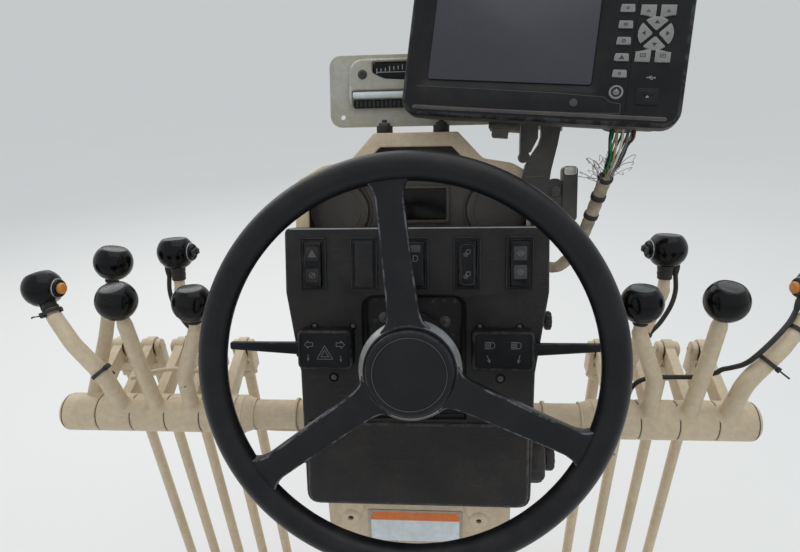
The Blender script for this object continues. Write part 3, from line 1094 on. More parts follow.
class Lever:
    """A hand lever: its side (-1 is left), its place from the middle outwards, its bar and its cable."""

    def __init__(self, name, side, place, shape, radius, cable=None):
        self.name, self.side, self.shape, self.radius, self.cable = name, side, shape, radius, cable
        self.x = side * (BANK_X[side] + (place + 0.5) * LEVER_PITCH)
        self.route = self.points(shape)
        neck = (self.route[-1] - self.route[-2]).length - KNOB_FOOT
        self.collar = min(18 if cable else 7, neck - radius - 1)

    def points(self, shape):
        """A shape's points in the console's own place."""
        return [Vector((self.x - self.side * s, y, TUBE_Z + z)) for s, y, z in shape]


LEVERS = [Lever("L1", -1, 4, SHAPE_E, 9.5), Lever("L2", -1, 3, SHAPE_A, 11, CABLE_BACK),
          Lever("L3", -1, 2, SHAPE_B, 10), Lever("L4", -1, 1, SHAPE_C, 10),
          Lever("L5", -1, 0, SHAPE_D, 9.5, CABLE_HANG), Lever("R4", 1, 0, SHAPE_D, 9.5, CABLE_HANG),
          Lever("R3", 1, 1, SHAPE_C, 10), Lever("R2", 1, 2, SHAPE_B, 10),
          Lever("R1", 1, 3, SHAPE_A, 11, CABLE_FRONT)]


def knob_place(route):
    """The knob's middle, with z along the neck and x still to the right."""
    d = route[-1] - route[-2]
    turn = degrees(atan2(d.y, d.x))
    return (Matrix.Translation(route[-1]) @ turned(turn, "Z") @ turned(degrees(acos(d.z / d.length)), "Y")
            @ turned(-turn, "Z"))


def foot_ring(route, radius):
    """Where a bar of this radius meets the sleeve on the tube."""
    start, d = route[1], (route[0] - route[1]).normalized()
    a = d.orthogonal().normalized()
    b = d.cross(a)
    ring = []
    for u, v in polygon(radius, 22):
        p = start + a * u + b * v
        y, z = p.y, p.z - TUBE_Z
        half = y * d.y + z * d.z
        square = d.y ** 2 + d.z ** 2
        root = half * half - square * (y * y + z * z - SLEEVE_R ** 2)
        foot = p + d * ((-half - sqrt(max(root, 0))) / square)
        foot.x = min(max(foot.x, start.x - 22.4), start.x + 22.4)
        ring.append(foot)
    return ring


def build_levers(scene):
    sizes = scene.console_sizes
    weld, lever_bend, fillet = sizes.weld_bead / MM, sizes.lever_bend / MM, sizes.weld_fillet / MM
    tube = Mould(at(0, 0, TUBE_Z) @ turned(90, "Y"))
    banks = {-1: (BANK_X[-1], 5), 1: (BANK_X[1], 4)}

    def half(bank, count):
        """The tube from an end cap to the housing, as radius and distance from the middle."""
        end = bank + count * LEVER_PITCH
        cap = [(0, 7), (14, 7), (17.4, 6.4), (20.4, 5), (22.4, 3), (23, 1.6), (23, -0.1), (TUBE_R, -0.1)]
        collar = [(TUBE_R, 0), (24.2, 0), (25, 0.8), (25, 9.4), (24.2, 10), (20, 23.5), (TUBE_R, 25)]
        band = [(TUBE_R, 162), (21.4, 162), (22, 161.4), (22, 158.6), (21.4, 158), (TUBE_R, 158)]
        return [(r, end + z) for r, z in cap] + [(r, bank - z) for r, z in collar] + band

    profile = [(r, -z) for r, z in half(*banks[-1])] + half(*banks[1])[::-1]
    tube.lathe(profile, 56)
    tube.place = Matrix()
    for side, (bank, count) in banks.items():
        ring = [(side * (bank - 24), y, TUBE_Z + z) for y, z in polygon(TUBE_R + 1.2, 36)]
        bead(tube, ring, 1.4, side, True)
    # Black seals stand between the sleeves and at the tube's ends.
    tube.mat = 1
    tube.place = at(0, 0, TUBE_Z) @ turned(90, "Y")
    for side, (bank, count) in banks.items():
        for k in range(count + 1):
            middle = side * (bank + (k if side > 0 else count - k) * LEVER_PITCH)
            tube.bored(TUBE_R - 0.3, 24.2, middle - 0.44, middle + 0.44, 0.15, 48)
    make(tube, "lever_tube", ["tan_paint", "black_rubber"], "console", ["cross_tube"])

    width = LEVER_PITCH - SLEEVE_GAP
    for lever in LEVERS:
        x, route, radius = lever.x, lever.route, lever.radius
        unit = (route[-1] - route[-2]).normalized()
        end = route[-1] - unit * (KNOB_FOOT + lever.collar - 0.5)
        mould = Mould(at(x, 0, TUBE_Z) @ turned(90, "Y"))
        mould.bored(TUBE_R + 0.05, SLEEVE_R, -width / 2, width / 2, 1.3, 56)
        # The bar: each bend takes half a millimetre off its radius, and the neck is turned down.
        mould.place = Matrix()
        dense = split(bend(route[:-1] + [end], lever_bend, 7), 7)
        total = sum((b - a).length for a, b in zip(dense, dense[1:]))
        neck = (end - route[-2]).length
        run, radii = 0.0, []
        for a, b in zip([dense[0]] + dense, dense):
            run += (b - a).length
            bar = radius - 0.5 * (len(route) - 2) * min(1.0, run / (total - neck))
            narrowed = min(1.0, max(0.0, (run - (total - neck) - 1.5) / 4))
            radii.append(bar + (NECK_R - bar) * narrowed)
        mould.tube(dense, radii, 22)
        # A smooth weld flares the bar's foot out on the sleeve.
        up = (route[1] - route[0]).normalized()
        flare = ((0, 1.2), (0.04, 0.95), (0.16, 0.6), (0.38, 0.3), (0.68, 0.08), (1.0, -0.08))
        mould.rings([[p + up * (fillet * rise) for p in foot_ring(route, radius - 0.3 + fillet * out)]
                     for out, rise in flare], capped=False)
        # Bellcrank arm: a web between the sleeve and the eye, and the eye with its bore
        mould.place = at(x, 0, TUBE_Z) @ turned(90, "Y")
        web = [(17, 17), (-17, 17)] + [(p - ARM_RISE, ARM_REACH - q) for p, q in (
            (4.2 - EYE_R, 5), (-8, 6.5), (0, 9.5), (7.5, 5.5), (EYE_R - 2.6, 1))]
        mould.prism(ccw(web), -ARM_T / 2, ARM_T / 2, 0.9, 0.9)
        mould.place = at(x, ARM_REACH, TUBE_Z + ARM_RISE) @ turned(90, "Y")
        mould.bored(EYE_BORE, EYE_R, -ARM_T / 2, ARM_T / 2, 0.9, 40)
        mould.place = Matrix()
        for face_x in (x - ARM_T / 2, x + ARM_T / 2):
            seam = [(face_x, SLEEVE_R * cos(a), TUBE_Z + SLEEVE_R * sin(a))
                    for a in (radians(-42 + 12 * k) for k in range(8))]
            bead(mould, seam, weld * 0.8, x + 5)
        body = "lever_" + lever.name
        make(mould, "hand_" + body, ["tan_paint"], body, [body])


class CONSOLE_OT_levers(Operator):
    """Builds the cross tube and the hand levers with their sleeves and bellcrank arms"""
    bl_idname = "console.levers"
    bl_label = "Tube and levers"

    def execute(self, context):
        build_levers(context.scene)
        return {"FINISHED"}


def build_knobs(scene):
    top_r, foot_r = sqrt(KNOB_R ** 2 - KNOB_FLAT ** 2), sqrt(KNOB_R ** 2 - KNOB_FOOT ** 2)
    low, high = degrees(atan2(-KNOB_FOOT, foot_r)), degrees(atan2(KNOB_FLAT - 0.9, top_r + 0.9))
    steps, parting_line, parting_depth = 22, 4, 0.35
    for lever in LEVERS:
        side, name = lever.side, lever.name
        mould = Mould(knob_place(lever.route))
        profile = [(0, -KNOB_FOOT), (foot_r - 0.8, -KNOB_FOOT)]
        for k in range(steps + 1):
            a = radians(low + (high - low) * k / steps)
            r = KNOB_R - (parting_depth if k == parting_line else 0)
            profile.append((r * cos(a), r * sin(a)))
        profile += [(top_r + 0.1, KNOB_FLAT - 0.2), (top_r - 0.9, KNOB_FLAT), (top_r - 1.6, KNOB_FLAT - 0.5),
                    (0, KNOB_FLAT - 0.5)]
        mould.lathe(profile, 56)
        mould.mat = 1
        mould.lathe([(0, KNOB_FLAT - 1.5), (top_r - 1.9, KNOB_FLAT - 1.5), (top_r - 1.9, KNOB_FLAT - 0.3),
                     (top_r - 2.4, KNOB_FLAT - 0.05), (0, KNOB_FLAT)], 40)
        mould.mat = 2
        marks = [[(-9, 0), (9, 0)], [(0, -7), (0, 7)], arc(0, 0, 9.5, 20, 160, 9), arc(0, 0, 9.5, 200, 340, 9)]
        mould.strokes(marks, 0.5, KNOB_FLAT - 0.1, KNOB_FLAT + 0.05)
        # Collar under the knob: a rubber boot on the switched ones, a lock nut on the others
        mould.mat = 3
        r = 9.5 if lever.cable else 8.5
        foot, bore = -KNOB_FOOT - lever.collar, NECK_R - 0.5
        if lever.collar > 12:
            line = [(-1.2, 0), (-0.6, 0.8), (-0.6, 5), (0, 6), (0, 9), (-0.7, 10), (0, 11), (0.5, 16)]
            ends = [(r + 1.5, 0.5 - KNOB_FOOT), (bore, 0.5 - KNOB_FOOT)]
        else:
            line = [(-0.6, 0), (0, 0.6), (0, 2.2), (-1.1, 2.8)]
            ends = [(r - 1.1, 0.4 - KNOB_FOOT), (bore, 0.4 - KNOB_FOOT)]
        mould.lathe([(bore, foot)] + [(r + out, foot + up) for out, up in line] + ends, 30, True)
        if lever.cable:
            # Side switch: a flange, a rim and a button or a rocker; it faces inboard.
            mould.place = at(*lever.route[-1]) @ turned(6 * side, "Z") @ turned(-88 * side, "Y")
            mould.mat = 0
            mould.lathe([(0, 8), (12.6, 8), (12.6, 21.4), (12, 22.4), (11, 23), (11, 25.2), (10.2, 26),
                         (8.4, 26), (8, 25), (0, 25)], 40)
            mould.mat = 5
            mould.bored(11.2, 12.3, 21.8, 23.2, 0.3, 36)
            if name in ("L2", "R1"):
                mould.mat = 4
                mould.lathe([(0, 24), (7, 24), (7, 28.8), (6.2, 30.2), (4.2, 31), (0, 31)], 28)
            else:
                mould.mat = 3
                mould.box(9.5, 15.5, 24, 29.4, 2, 1.2)
                mould.box(7, 6.5, 29, 31, 1.2, 0.6, 0, 3.6)
        top = "knob_top_satin" if lever.shape in (SHAPE_A, SHAPE_C) else "knob_top"
        make(mould, "grip_" + name, ["knob_gloss", top, "dim_ink", "black_rubber", "amber", "ring_satin"],
             "lever_" + name, ["knob_" + name])


class CONSOLE_OT_knobs(Operator):
    """Builds the lever knobs with their collars and side switches"""
    bl_idname = "console.knobs"
    bl_label = "Knobs"

    def execute(self, context):
        build_knobs(context.scene)
        return {"FINISHED"}


def build_rods(scene):
    edge = scene.console_sizes.plate_edge / MM
    lean, end_z, stud, rod_r, stud_r, thread = 0.13, 16, 24, 8, 6, 1.8
    drop = TUBE_Z + ARM_RISE - end_z - stud
    gap, cheek, fork_len, half, crotch = ARM_T / 2 + 0.8, 7, 40, 11, 24
    out = gap + cheek
    for lever in LEVERS:
        pin = at(lever.x, ARM_REACH, TUBE_Z + ARM_RISE)
        down = pin @ turned(180 + degrees(atan2(lean, 1)), "X")
        mould = Mould()
        for sx in (-1, 1):
            mould.place = down @ at(sx * (gap + cheek / 2), 0, 0) @ turned(90, "Y")
            outline = arc(0, 0, half, -90, 90, 14) + [(-fork_len, half), (-fork_len, -half)]
            mould.prism(outline, -cheek / 2, cheek / 2, edge, edge)
        mould.place = down
        mould.prism(rounded_rect(2 * out - 0.6, 2 * half - 0.6, 2), crotch, fork_len - 0.4, 0.8, 0.8)
        mould.prism(polygon(13, 6), fork_len - 0.5, fork_len + 9, 1.0, 0.4)
        mould.lathe([(0, fork_len - 2), (rod_r, fork_len - 2), (rod_r, drop - 1.4), (rod_r - 1.2, drop),
                     (0, drop)], 28)
        mould.mat = 1
        profile, z = [(0, drop - 2), (stud_r - 0.7, drop - 2), (stud_r - 0.7, drop)], drop
        while z < drop + stud - 2.6:
            profile += [(stud_r, z + thread / 2), (stud_r - 0.75, z + thread)]
            z += thread
        profile += [(stud_r - 0.75, drop + stud - 1), (stud_r - 1.6, drop + stud), (0, drop + stud)]
        mould.lathe(profile, 22)
        # Cross pin with a flat washer at each end and a split pin through one end
        mould.mat = 0
        mould.place = pin @ turned(90, "Y")
        mould.lathe([(0, -out - 2), (5.2, -out - 2), (6, -out - 1.2), (6, out + 1.2), (5.2, out + 2),
                     (0, out + 2)], 28)
        for s in (-1, 1):
            mould.lathe([(6, s * out), (8.8, s * out), (9, s * (out + 0.4)), (8.6, s * (out + 1)),
                         (6, s * (out + 1))], 28, True)
        mould.mat = 2
        mould.place = pin @ at(-lever.side * (out + 1.5), 0, 0)
        mould.tube([(0, -7.6, 5), (0, -7, 0), (0, 7, 0), (0, 7.8, -5)], 0.5, 6)
        body = "rod_" + lever.name
        make(mould, "control_" + body, ["tan_paint", "dark_steel", "bright_metal"], body, [body])


class CONSOLE_OT_rods(Operator):
    """Builds the control rods with their forks, pins, lock nuts and threaded studs"""
    bl_idname = "console.rods"
    bl_label = "Control rods"

    def execute(self, context):
        build_rods(context.scene)
        return {"FINISHED"}


CROSS_LEFT = [(-392, 20, 697), (-378, 24, 699), (-357, 26, 705), (-330, 27, 708), (-306, 27, 706), (-292, 30, 698),
              (-287, 34, 682), (-285, 38, 656), (-278, 40, 632), (-258, 39, 612), (-222, 40, 603), (-175, 42, 600),
              (-138, 42, 600)]
CROSS_RIGHT = [(364, -4, 729), (355, 5, 719), (344, 14, 711), (326, 23, 705), (303, 26, 702), (288, 29, 696),
               (279, 33, 682), (276, 38, 656), (269, 40, 632), (250, 39, 612), (215, 40, 603), (175, 42, 600),
               (138, 42, 600)]


def tie(mould, place, radius, width, cable=3.0, lean=0.0, tail=9.0, side=1):
    """A cable tie round a bar, with its lock and its tail; the cable lies at lean degrees."""
    half, thick, steps, hump = width / 2, 1.1, 34, 34
    rows = []
    for k in range(steps):
        a = 2 * pi * k / steps
        off = abs((degrees(a) - lean + 180) % 360 - 180)
        # The band swells over the cable that it holds.
        r = radius + 0.15 + 2 * cable * max(0.0, 1 - off / hump) ** 0.6
        section = [(r, -half), (r + thick, -half), (r + thick, half), (r, half)]
        rows.append([(q * cos(a), q * sin(a), z) for q, z in section])
    keep, mould.place = mould.place, place
    mould.rings(rows, loop=True)
    mould.place = place @ turned(lean + 55 * side, "Z") @ at(radius + 2.6, 0, 0)
    mould.box(4.6, 7.0, -half - 0.9, half + 0.9, 0.8, 0.5)
    mould.tube([(1.4, 0, 0), (4.5, 2 * side, 0), (tail * 0.8, 4.5 * side, 0), (tail + 2, 4.2 * side, 0)],
               half * 0.7, 8, flat=0.3)
    mould.place = keep


def build_cables(scene):
    width = scene.console_sizes.tie_width / MM
    r = 3.0
    # Ties: the bar's span, the place along it, the side of the cable, and the way that the lock faces
    spots = {"L2": ((3, 0.2, 205, 2.3), (1, 0.12, 150, -1)), "R1": ((2, 0.6, 200, 1), (1, 0.62, 165, 1))}
    for lever in LEVERS:
        if not lever.cable:
            continue
        points = lever.points(lever.cable)
        mould = Mould()
        mould.tube(smooth(points, 7), r - 0.05, 14, dome=0.5)
        mould.place = towards(points[0], points[1])
        mould.lathe([(0, -1), (4.6, -1), (4.8, 3), (3.9, 9), (r, 13), (0, 13)], 20)
        for index, way, lean, turn in spots.get(lever.name, ((1, 0.25, 240, 1),)):
            a, b = lever.route[index], lever.route[index + 1]
            bar = lever.radius - 0.5 * index if index < len(lever.route) - 2 else 9.6
            tail = 12 if lever.name == "R1" else 7
            tie(mould, towards(a.lerp(b, way), b), bar + 0.5, width, 1.2, lean, tail, turn)
        make(mould, "switch_cable_" + lever.name, ["black_rubber"], "lever_" + lever.name,
             ["cable_" + lever.name])
    for route, word in ((CROSS_LEFT, "left"), (CROSS_RIGHT, "right")):
        mould = Mould()
        path = smooth(route, 6)
        bare = 6 * 6 if word == "right" else 0
        if bare:
            mould.tube(path[:bare + 1], r - 0.05, 14, dome=0.5)
        mould.mat = 1
        mould.tube(path[bare:], r - 0.05, 14, dome=0.3)
        mould.mat = 0
        side = 1 if word == "right" else -1
        mould.place = at(side * 137, 42, 600) @ turned(90 * side, "Y")
        mould.bored(r, 6.5, -1, 8, 1.5, 24)
        make(mould, "cross_cable_" + word + "_run", ["black_rubber", "tan_paint"], "console", ["cross_cable_" + word])


class CONSOLE_OT_cables(Operator):
    """Builds the knob switches' cables, the cross cables and the cable ties"""
    bl_idname = "console.cables"
    bl_label = "Cables"

    def execute(self, context):
        build_cables(context.scene)
        return {"FINISHED"}


HOOD = [(151, 0), (151, 83), (116, 103), (81, 109), (51, 141)]
HOOD_FOOT, HOOD_FRONT, HOOD_DEPTH, SHEET, LIP = 108, -35, 85, 4, 17
HOOD_RADII = [2, 16, 30, 14, 5, 5, 14, 30, 16, 2]


def hood_outline(inward, corners=0.0):
    """The pod's outline, from its foot to its hump."""
    half = [(x - inward, HOOD_FOOT + max(inward, y - inward)) for x, y in HOOD]
    points = half + [(-x, y) for x, y in half[::-1]]
    return bend(points, [corners * r for r in HOOD_RADII], 5, True) if corners else [Vector(p) for p in points]


def build_pod(scene):
    edge = scene.console_sizes.plate_edge / MM
    face_w = HOOD_FRONT - 38
    hood = Mould(FACE)
    outline = hood_outline(0, 1.0)
    hood.prism(outline, HOOD_FRONT - HOOD_DEPTH, HOOD_FRONT, 2.2, edge, 4)
    hollow = Mould(FACE)
    # The lip: the sheet is folded in at the front, so the opening is smaller than the hood.
    inner = hood_outline(SHEET, 0.9)
    opening = bend(inset(hood_outline(0), LIP), HOOD_RADII, 5, True)
    hollow.rings([[(p.x, p.y, z) for p in line] for line, z in (
        (inner, HOOD_FRONT - HOOD_DEPTH + SHEET), (inner, HOOD_FRONT - SHEET - 2), (inner, HOOD_FRONT - SHEET),
        (opening, HOOD_FRONT - SHEET), (opening, HOOD_FRONT - 1), (inset(opening, -1), HOOD_FRONT + 0.2),
        (inset(opening, -1), HOOD_FRONT + 3))])
    make(hood, "pod_shell", ["tan_paint"], "console", ["pod_hood"], cutter=hollow)

    inside = Mould(FACE)
    inside.prism(hood_outline(SHEET - 0.2, 0.9), face_w - 4, face_w, 0.8)
    for sx in (-1, 1):
        inside.place = FACE @ at(sx * 101, 154, 0)
        # A raised moulding round each gauge
        inside.lathe([(r, face_w + z) for r, z in (
            (39.5, -1), (43, -1), (43, 1), (42, 2.4), (40.4, 2.4), (39.5, 1.4))], 64, True)
    make(inside, "pod_board", ["pod_grey"], "console", ["pod_face"])

    covers = Mould()
    for sx in (-1, 1):
        covers.place = FACE @ at(sx * 101, 154, face_w)
        covers.lathe([(0, 0), (38, 0), (38, 4.6), (37.2, 6.2), (35.6, 7), (30, 7), (29.6, 6.5), (28.8, 6.5),
                      (28.4, 7), (0, 7)], 72, rims=[0, 0, 1, 1, 0, 1, 0, 1, 0])
    make(covers, "gauge_caps", ["pod_grey"], "console", ["gauge_covers"])

    show = Mould(FACE @ at(0, 162, face_w))
    show.slab(82, 48, 3, ((0, -0.2), (0, 4.6), (0.9, 5.7), (1.8, 6), (3.2, 6), (4.0, 5), (4.4, 3.4)),
              [0, 1, 1, 0, 1, 0])
    show.mat = 1
    show.prism(rounded_rect(73, 39, 2), 2, 3.9, 0.3)
    make(show, "pod_screen", ["pod_grey", "lamp_glass"], "console", ["pod_display"])

    knobs = Mould()
    rows = ((1, -171, -62, 34, 25), (1, -171, -62, 18, 39), (1, 17, -40, 12, 17), (-1, -165, -50, 15, 18))
    for side, v, w, r, out in rows:
        foot = v + 0.35 * r
        for (x0, v0), (x1, v1) in zip(PANEL_SIDE, PANEL_SIDE[1:]):
            if v0 <= foot <= v1:
                wall = x0 + (x1 - x0) * (foot - v0) / (v1 - v0) - 2
        stem = out - 0.6 * r
        knobs.place = FACE @ at(0, v, w) @ turned(90 * side, "Y")
        thick = 0.7 * r
        low = wall + stem - 0.1 * r
        knobs.lathe([(0, wall - 0.5), (0.35 * r, wall - 0.5), (0.35 * r, low + 1), (0, low + 1)], 28)
        # The grip's edge is fluted.
        flutes, around = 10, 60
        grip = []
        for rise, k in ((0, 0.80), (0.12, 0.97), (0.3, 1.0), (0.7, 1.0), (0.9, 0.96), (1, 0.84), (0.94, 0.6)):
            grip.append([])
            for j in range(around):
                a = 2 * pi * j / around
                q = r * (0.94 * k + 0.05 * cos(flutes * a))
                grip[-1].append((q * cos(a), q * sin(a), low + rise * thick))
        knobs.rings(grip, [1, 0, 0, 0, 1, 0])
    make(knobs, "side_knobs", ["black_rubber"], "console", ["tilt_knobs"])


class CONSOLE_OT_pod(Operator):
    """Builds the instrument pod with its hood, gauge covers and small display"""
    bl_idname = "console.pod"
    bl_label = "Instrument pod"

    def execute(self, context):
        build_pod(context.scene)
        return {"FINISHED"}


def build_slope_meter(scene):
    front, mid, hump = -50, 301, 249
    plate = Mould(FACE)
    plate.prism(rounded_rect(212, 86, 14, 0, mid), front - 2.5, front, 0.7, 0.7)
    hole = Mould(FACE @ at(-90, 270, front))
    hole.lathe([(0, -6), (3, -6), (3, 4), (0, 4)], 20)
    make(plate, "meter_plate", ["grey_paint"], "console", ["slope_meter_plate"], cutter=hole)

    # The raised frame: a round-edged moulding with a curved dial window and a straight vial window
    frame_x, top, low = 8, 338, 282
    raised = Mould(FACE)
    outline = bend([(frame_x + 89, low), (frame_x + 89, top), (frame_x - 89, top), (frame_x - 89, low)],
                   [12, 20, 20, 9], 7, True)
    raised.prism(outline, front - 0.5, front + 8.6, 3.0, 0, 4)
    windows = Mould(FACE)
    dial_v, dial_w, dial_h = 323, 104, 22
    dial = bend([(52, dial_v + 11), (-52, dial_v + 11), (-52, dial_v - 2), (-38, dial_v - 9), (0, dial_v - 11.5),
                 (38, dial_v - 9), (52, dial_v - 2)], [3, 3, 5, 20, 60, 20, 5], 5, True)
    for shape in (dial, rounded_rect(154, 22, 3, 0, 290)):
        windows.draw(shape, ((0, front + 2.6), (0, front + 7), (-1.8, front + 9.2)))
    make(raised, "meter_frame", ["grey_paint"], "console", cutter=windows)

    posts = Mould()
    for x in (-39, 31):
        posts.place, posts.mat = FACE @ at(x, hump, front - 2.5) @ turned(-90, "X"), 0
        posts.lathe([(0, 0), (9.6, 0), (10, 0.6), (10, 9), (9.4, 9.8), (5, 10), (4, 11), (4, 17), (0, 17)], 28)
        posts.mat = 1
        posts.prism(polygon(8.2, 6), 9.6, 13.4, 0.8)
    posts.mat = 1
    for x in (-64, 81):
        posts.screw(FACE @ at(x, 319, front + 8.2), 4.2, 2.6, "socket")
    make(posts, "meter_posts", ["black_rubber", "dark_steel"], "console")

    dials = Mould(FACE)
    dials.prism(rounded_rect(dial_w, dial_h, 7, 0, dial_v), front + 3, front + 5, 0.4)
    dials.prism(rounded_rect(152, 10, 2, 0, 285), front + 3, front + 5, 0.4)
    dials.mat = 1
    for k in range(-9, 10):
        tall = 5 if k % 3 == 0 else 3
        x = k * 5.2
        y = dial_v + 5 - 0.0022 * x * x
        dials.strokes([[(x, y - tall / 2), (x, y + tall / 2)]], 1.1, front + 4.9, front + 5.25)
    dials.strokes([[(-46, dial_v - 1), (46, dial_v - 1)]], 0.8, front + 4.9, front + 5.2)
    # Teeth of the lower scale, as upright blocks
    dials.mat = 2
    for k in range(-14, 15):
        dials.box(2.6, 6.5 if k % 2 else 8.2, front + 4.8, front + 6.0, 0.4, 0.3, k * 5.1, 285)
    dials.mat = 3
    dials.place = FACE @ at(0, 295, front + 7) @ turned(90, "Y")
    dials.lathe([(0, -76), (3.2, -76), (4, -75), (4, 75), (3.2, 76), (0, 76)], 20)
    make(dials, "meter_dials", ["lamp_glass", "ink", "black_rubber", "white_sign"], "console",
         ["slope_meter_dials"])


class CONSOLE_OT_slope_meter(Operator):
    """Builds the slope meter above the pod"""
    bl_idname = "console.slope_meter"
    bl_label = "Slope meter"

    def execute(self, context):
        build_slope_meter(context.scene)
        return {"FINISHED"}


def build_monitor(scene):
    mid, foot = 14, -76
    bezel = Mould(SCREEN @ at(0, mid, 0))
    bezel.slab(288, 192, 18, ((1.2, -16), (0, -15), (0, -9.6), (0.7, -9.2), (0.7, -8.6), (0, -8.2), (0, -3),
                              (0.7, -1.2), (2.0, -0.3), (4, 0)), [1, 0, 0, 0, 0, 0, 1, 1, 1])
    # The sides are of the case's brownish plastic, and the front is black.
    for f in bezel.bm.faces:
        if (SCREEN.inverted() @ f.calc_center_median()).z < -2.5:
            f.material_index = 1
    cutter = Mould(SCREEN)
    screen_w, screen_h, cx, cy = 172, 128, -31, 22
    opening = ((0.0, -3.0), (0.0, -2.6), (7.6, -0.4), (8.6, 0.0), (9.6, 1.0))
    cutter.rings([[(x, y, z) for x, y in rounded_rect(screen_w + 2 * p, screen_h + 2 * p, 3 + 0.5 * p, cx, cy)]
                  for p, z in opening])
    # Grooves part the key column from the key pad and the service cover.
    for width, height, u, v in ((0.9, 190.4, 90.5, mid), (0.8, 18, 132, 60)):
        cutter.prism(rounded_rect(width, height, 0.3, u, v), -0.8, 2)
    make(bezel, "monitor_front", ["black_plastic", "case_plastic"], "console", ["monitor_case"], cutter=cutter)

    case = Mould(SCREEN @ at(0, mid, 0))
    case.slab(268, 180, 14, ((7, -50), (2.6, -49), (0.8, -47), (0, -43), (0, -34)), [1, 1, 1, 0])
    case.slab(266.6, 178.6, 14, ((0, -36), (0, -12)))
    # Cooling ribs and four screws on the back
    for k in range(9):
        case.box(150, 2.4, -50, -47, 1, 0.4, 0, 9 * k - 10)
    for x in (-118, 118):
        for y in (-78, 78):
            case.screw(SCREEN @ at(x, mid + y, -49.4) @ turned(180, "Y"), 3.4, 0.6, "socket")
    case.place = SCREEN @ at(90, foot, -30) @ turned(90, "X")
    case.lathe([(0, -2), (19, -2), (19, 1.4), (18.2, 2.2), (15.4, 2.2), (14.8, 1.6), (0, 1.6)], 36)
    # The case stands out under the front as a brownish strip.
    case.place = SCREEN
    case.prism(rounded_rect(262, 4.4, 2.1, 0, -73.4), -3, 0.3, 0.9)
    # The lines of the plate under the screen, and the light sensor's lens
    case.place, case.mat = SCREEN, 2
    case.strokes([[(69, -54), (75.5, -59), (85.5, -60), (86, -70), (40, -71.5), (-60, -72), (-128, -71)],
                  [(69, -54), (20, -52), (-60, -51), (-128, -50.5)]], 0.7, -0.4, 0.14)
    case.place = SCREEN @ at(40, -61, 0)
    case.lathe([(0, -0.5), (4, -0.5), (4, 0.1), (3.4, 0.25), (0, 0.25)], 24)
    make(case, "monitor_back", ["case_plastic", "black_plastic", "faint_ink"], "console", ())

    glass = Mould(SCREEN)
    glass.prism(rounded_rect(screen_w, screen_h, 3, cx, cy), -3.2, -1.1, 0.4)
    make(glass, "monitor_glass", ["dark_glass"], "console", ["monitor_screen"])

    keys = Mould(SCREEN)
    pad_x, pad_v = 110, 10.5
    for i in range(7):
        v = -30.4 + 16.4 * i
        keys.place, keys.mat = SCREEN @ at(81, v, 0), 0
        keys.prism(bend([(7.2, -3.7), (6.4, 4), (-6.4, 4), (-7.2, -3.7)], 1.2, 3, True), -0.2, 1.9, 0.6)
        keys.mat = 1
        keys.strokes(icon(("dot", "triangle", "ring", "box")[i % 4], 4.2), 0.55, 1.8, 2.0)
    for sx in (-1, 1):
        for dv, kind in ((-22, "box"), (22, "tip"), (40, "dot"), (56, "ring")):
            keys.place, keys.mat = SCREEN @ at(pad_x + 9.3 * sx, pad_v + dv, 0), 0
            if abs(dv) == 22:
                # The side towards the pad is hollowed to follow it.
                near, tall, size = -1 if dv > 0 else 1, 6.3, 6.0
                curve = [(x, near * (tall - 1.3 * (1 - cos(pi * (x * sx + 7.2) / 14.4))))
                         for x in (-7.2, -4.8, -2.4, 0, 2.4, 4.8, 7.2)]
                outline = ccw(curve + [(7.2, -near * tall), (-7.2, -near * tall)])
            else:
                outline, size = rounded_rect(14.6, 8.8, 1.4, 0, 0, 3), 4.4
            keys.prism(outline, -0.2, 1.9, 0.5)
            keys.mat = 1
            keys.strokes(icon(kind, size), 0.6, 1.8, 2.0)
    for k in range(4):
        here = SCREEN @ at(pad_x, pad_v, 0) @ turned(90 * k, "Z")
        keys.place, keys.mat = here, 0
        petal = [(3.4, -1.0), (12.0, -9.6)] + arc(0, 0, 16.6, -38, 38, 9) + [(12.0, 9.6), (3.4, 1.0)]
        keys.prism(bend(petal, 0.8, 2, True), -0.2, 1.9, 0.6)
        keys.mat = 1
        keys.place = here @ at(11, 0, 0) @ turned(-90, "Z")
        keys.prism([(-2.4, -1.4), (2.4, -1.4), (0, 2.0)], 1.7, 2.0)
    keys.place, keys.mat = SCREEN @ at(80, -49, 0), 0
    keys.lathe([(5.2, -0.2), (7, -0.2), (7, 1.4), (6.4, 2), (5.2, 2)], 30, True)
    keys.mat = 1
    keys.lathe([(0, -0.2), (5.2, -0.2), (5.2, 0.9), (0, 1.1)], 30)
    keys.mat = 2
    keys.strokes(icon("power", 6.0), 0.9, 0.9, 1.4)
    keys.place = SCREEN @ at(111, -33, 0)
    keys.strokes(icon("plug", 5.0), 0.6, -0.1, 0.2)
    keys.place, keys.mat = SCREEN @ at(110, -52, 0), 3
    keys.prism(rounded_rect(22, 17, 2), -0.2, 1.2, 0.5)
    keys.box(13, 5, 0.8, 1.5, 0.8, 0.3, 0, 3.4)
    keys.mat = 2
    keys.strokes(icon("tip", 4.6), 0.6, 1.1, 1.35)
    make(keys, "monitor_buttons", ["grey_rubber", "dark_ink", "ink", "black_plastic"], "console", ["monitor_keys"])


class CONSOLE_OT_monitor(Operator):
    """Builds the display monitor: its case, screen and keys"""
    bl_idname = "console.monitor"
    bl_label = "Monitor"

    def execute(self, context):
        build_monitor(context.scene)
        return {"FINISHED"}


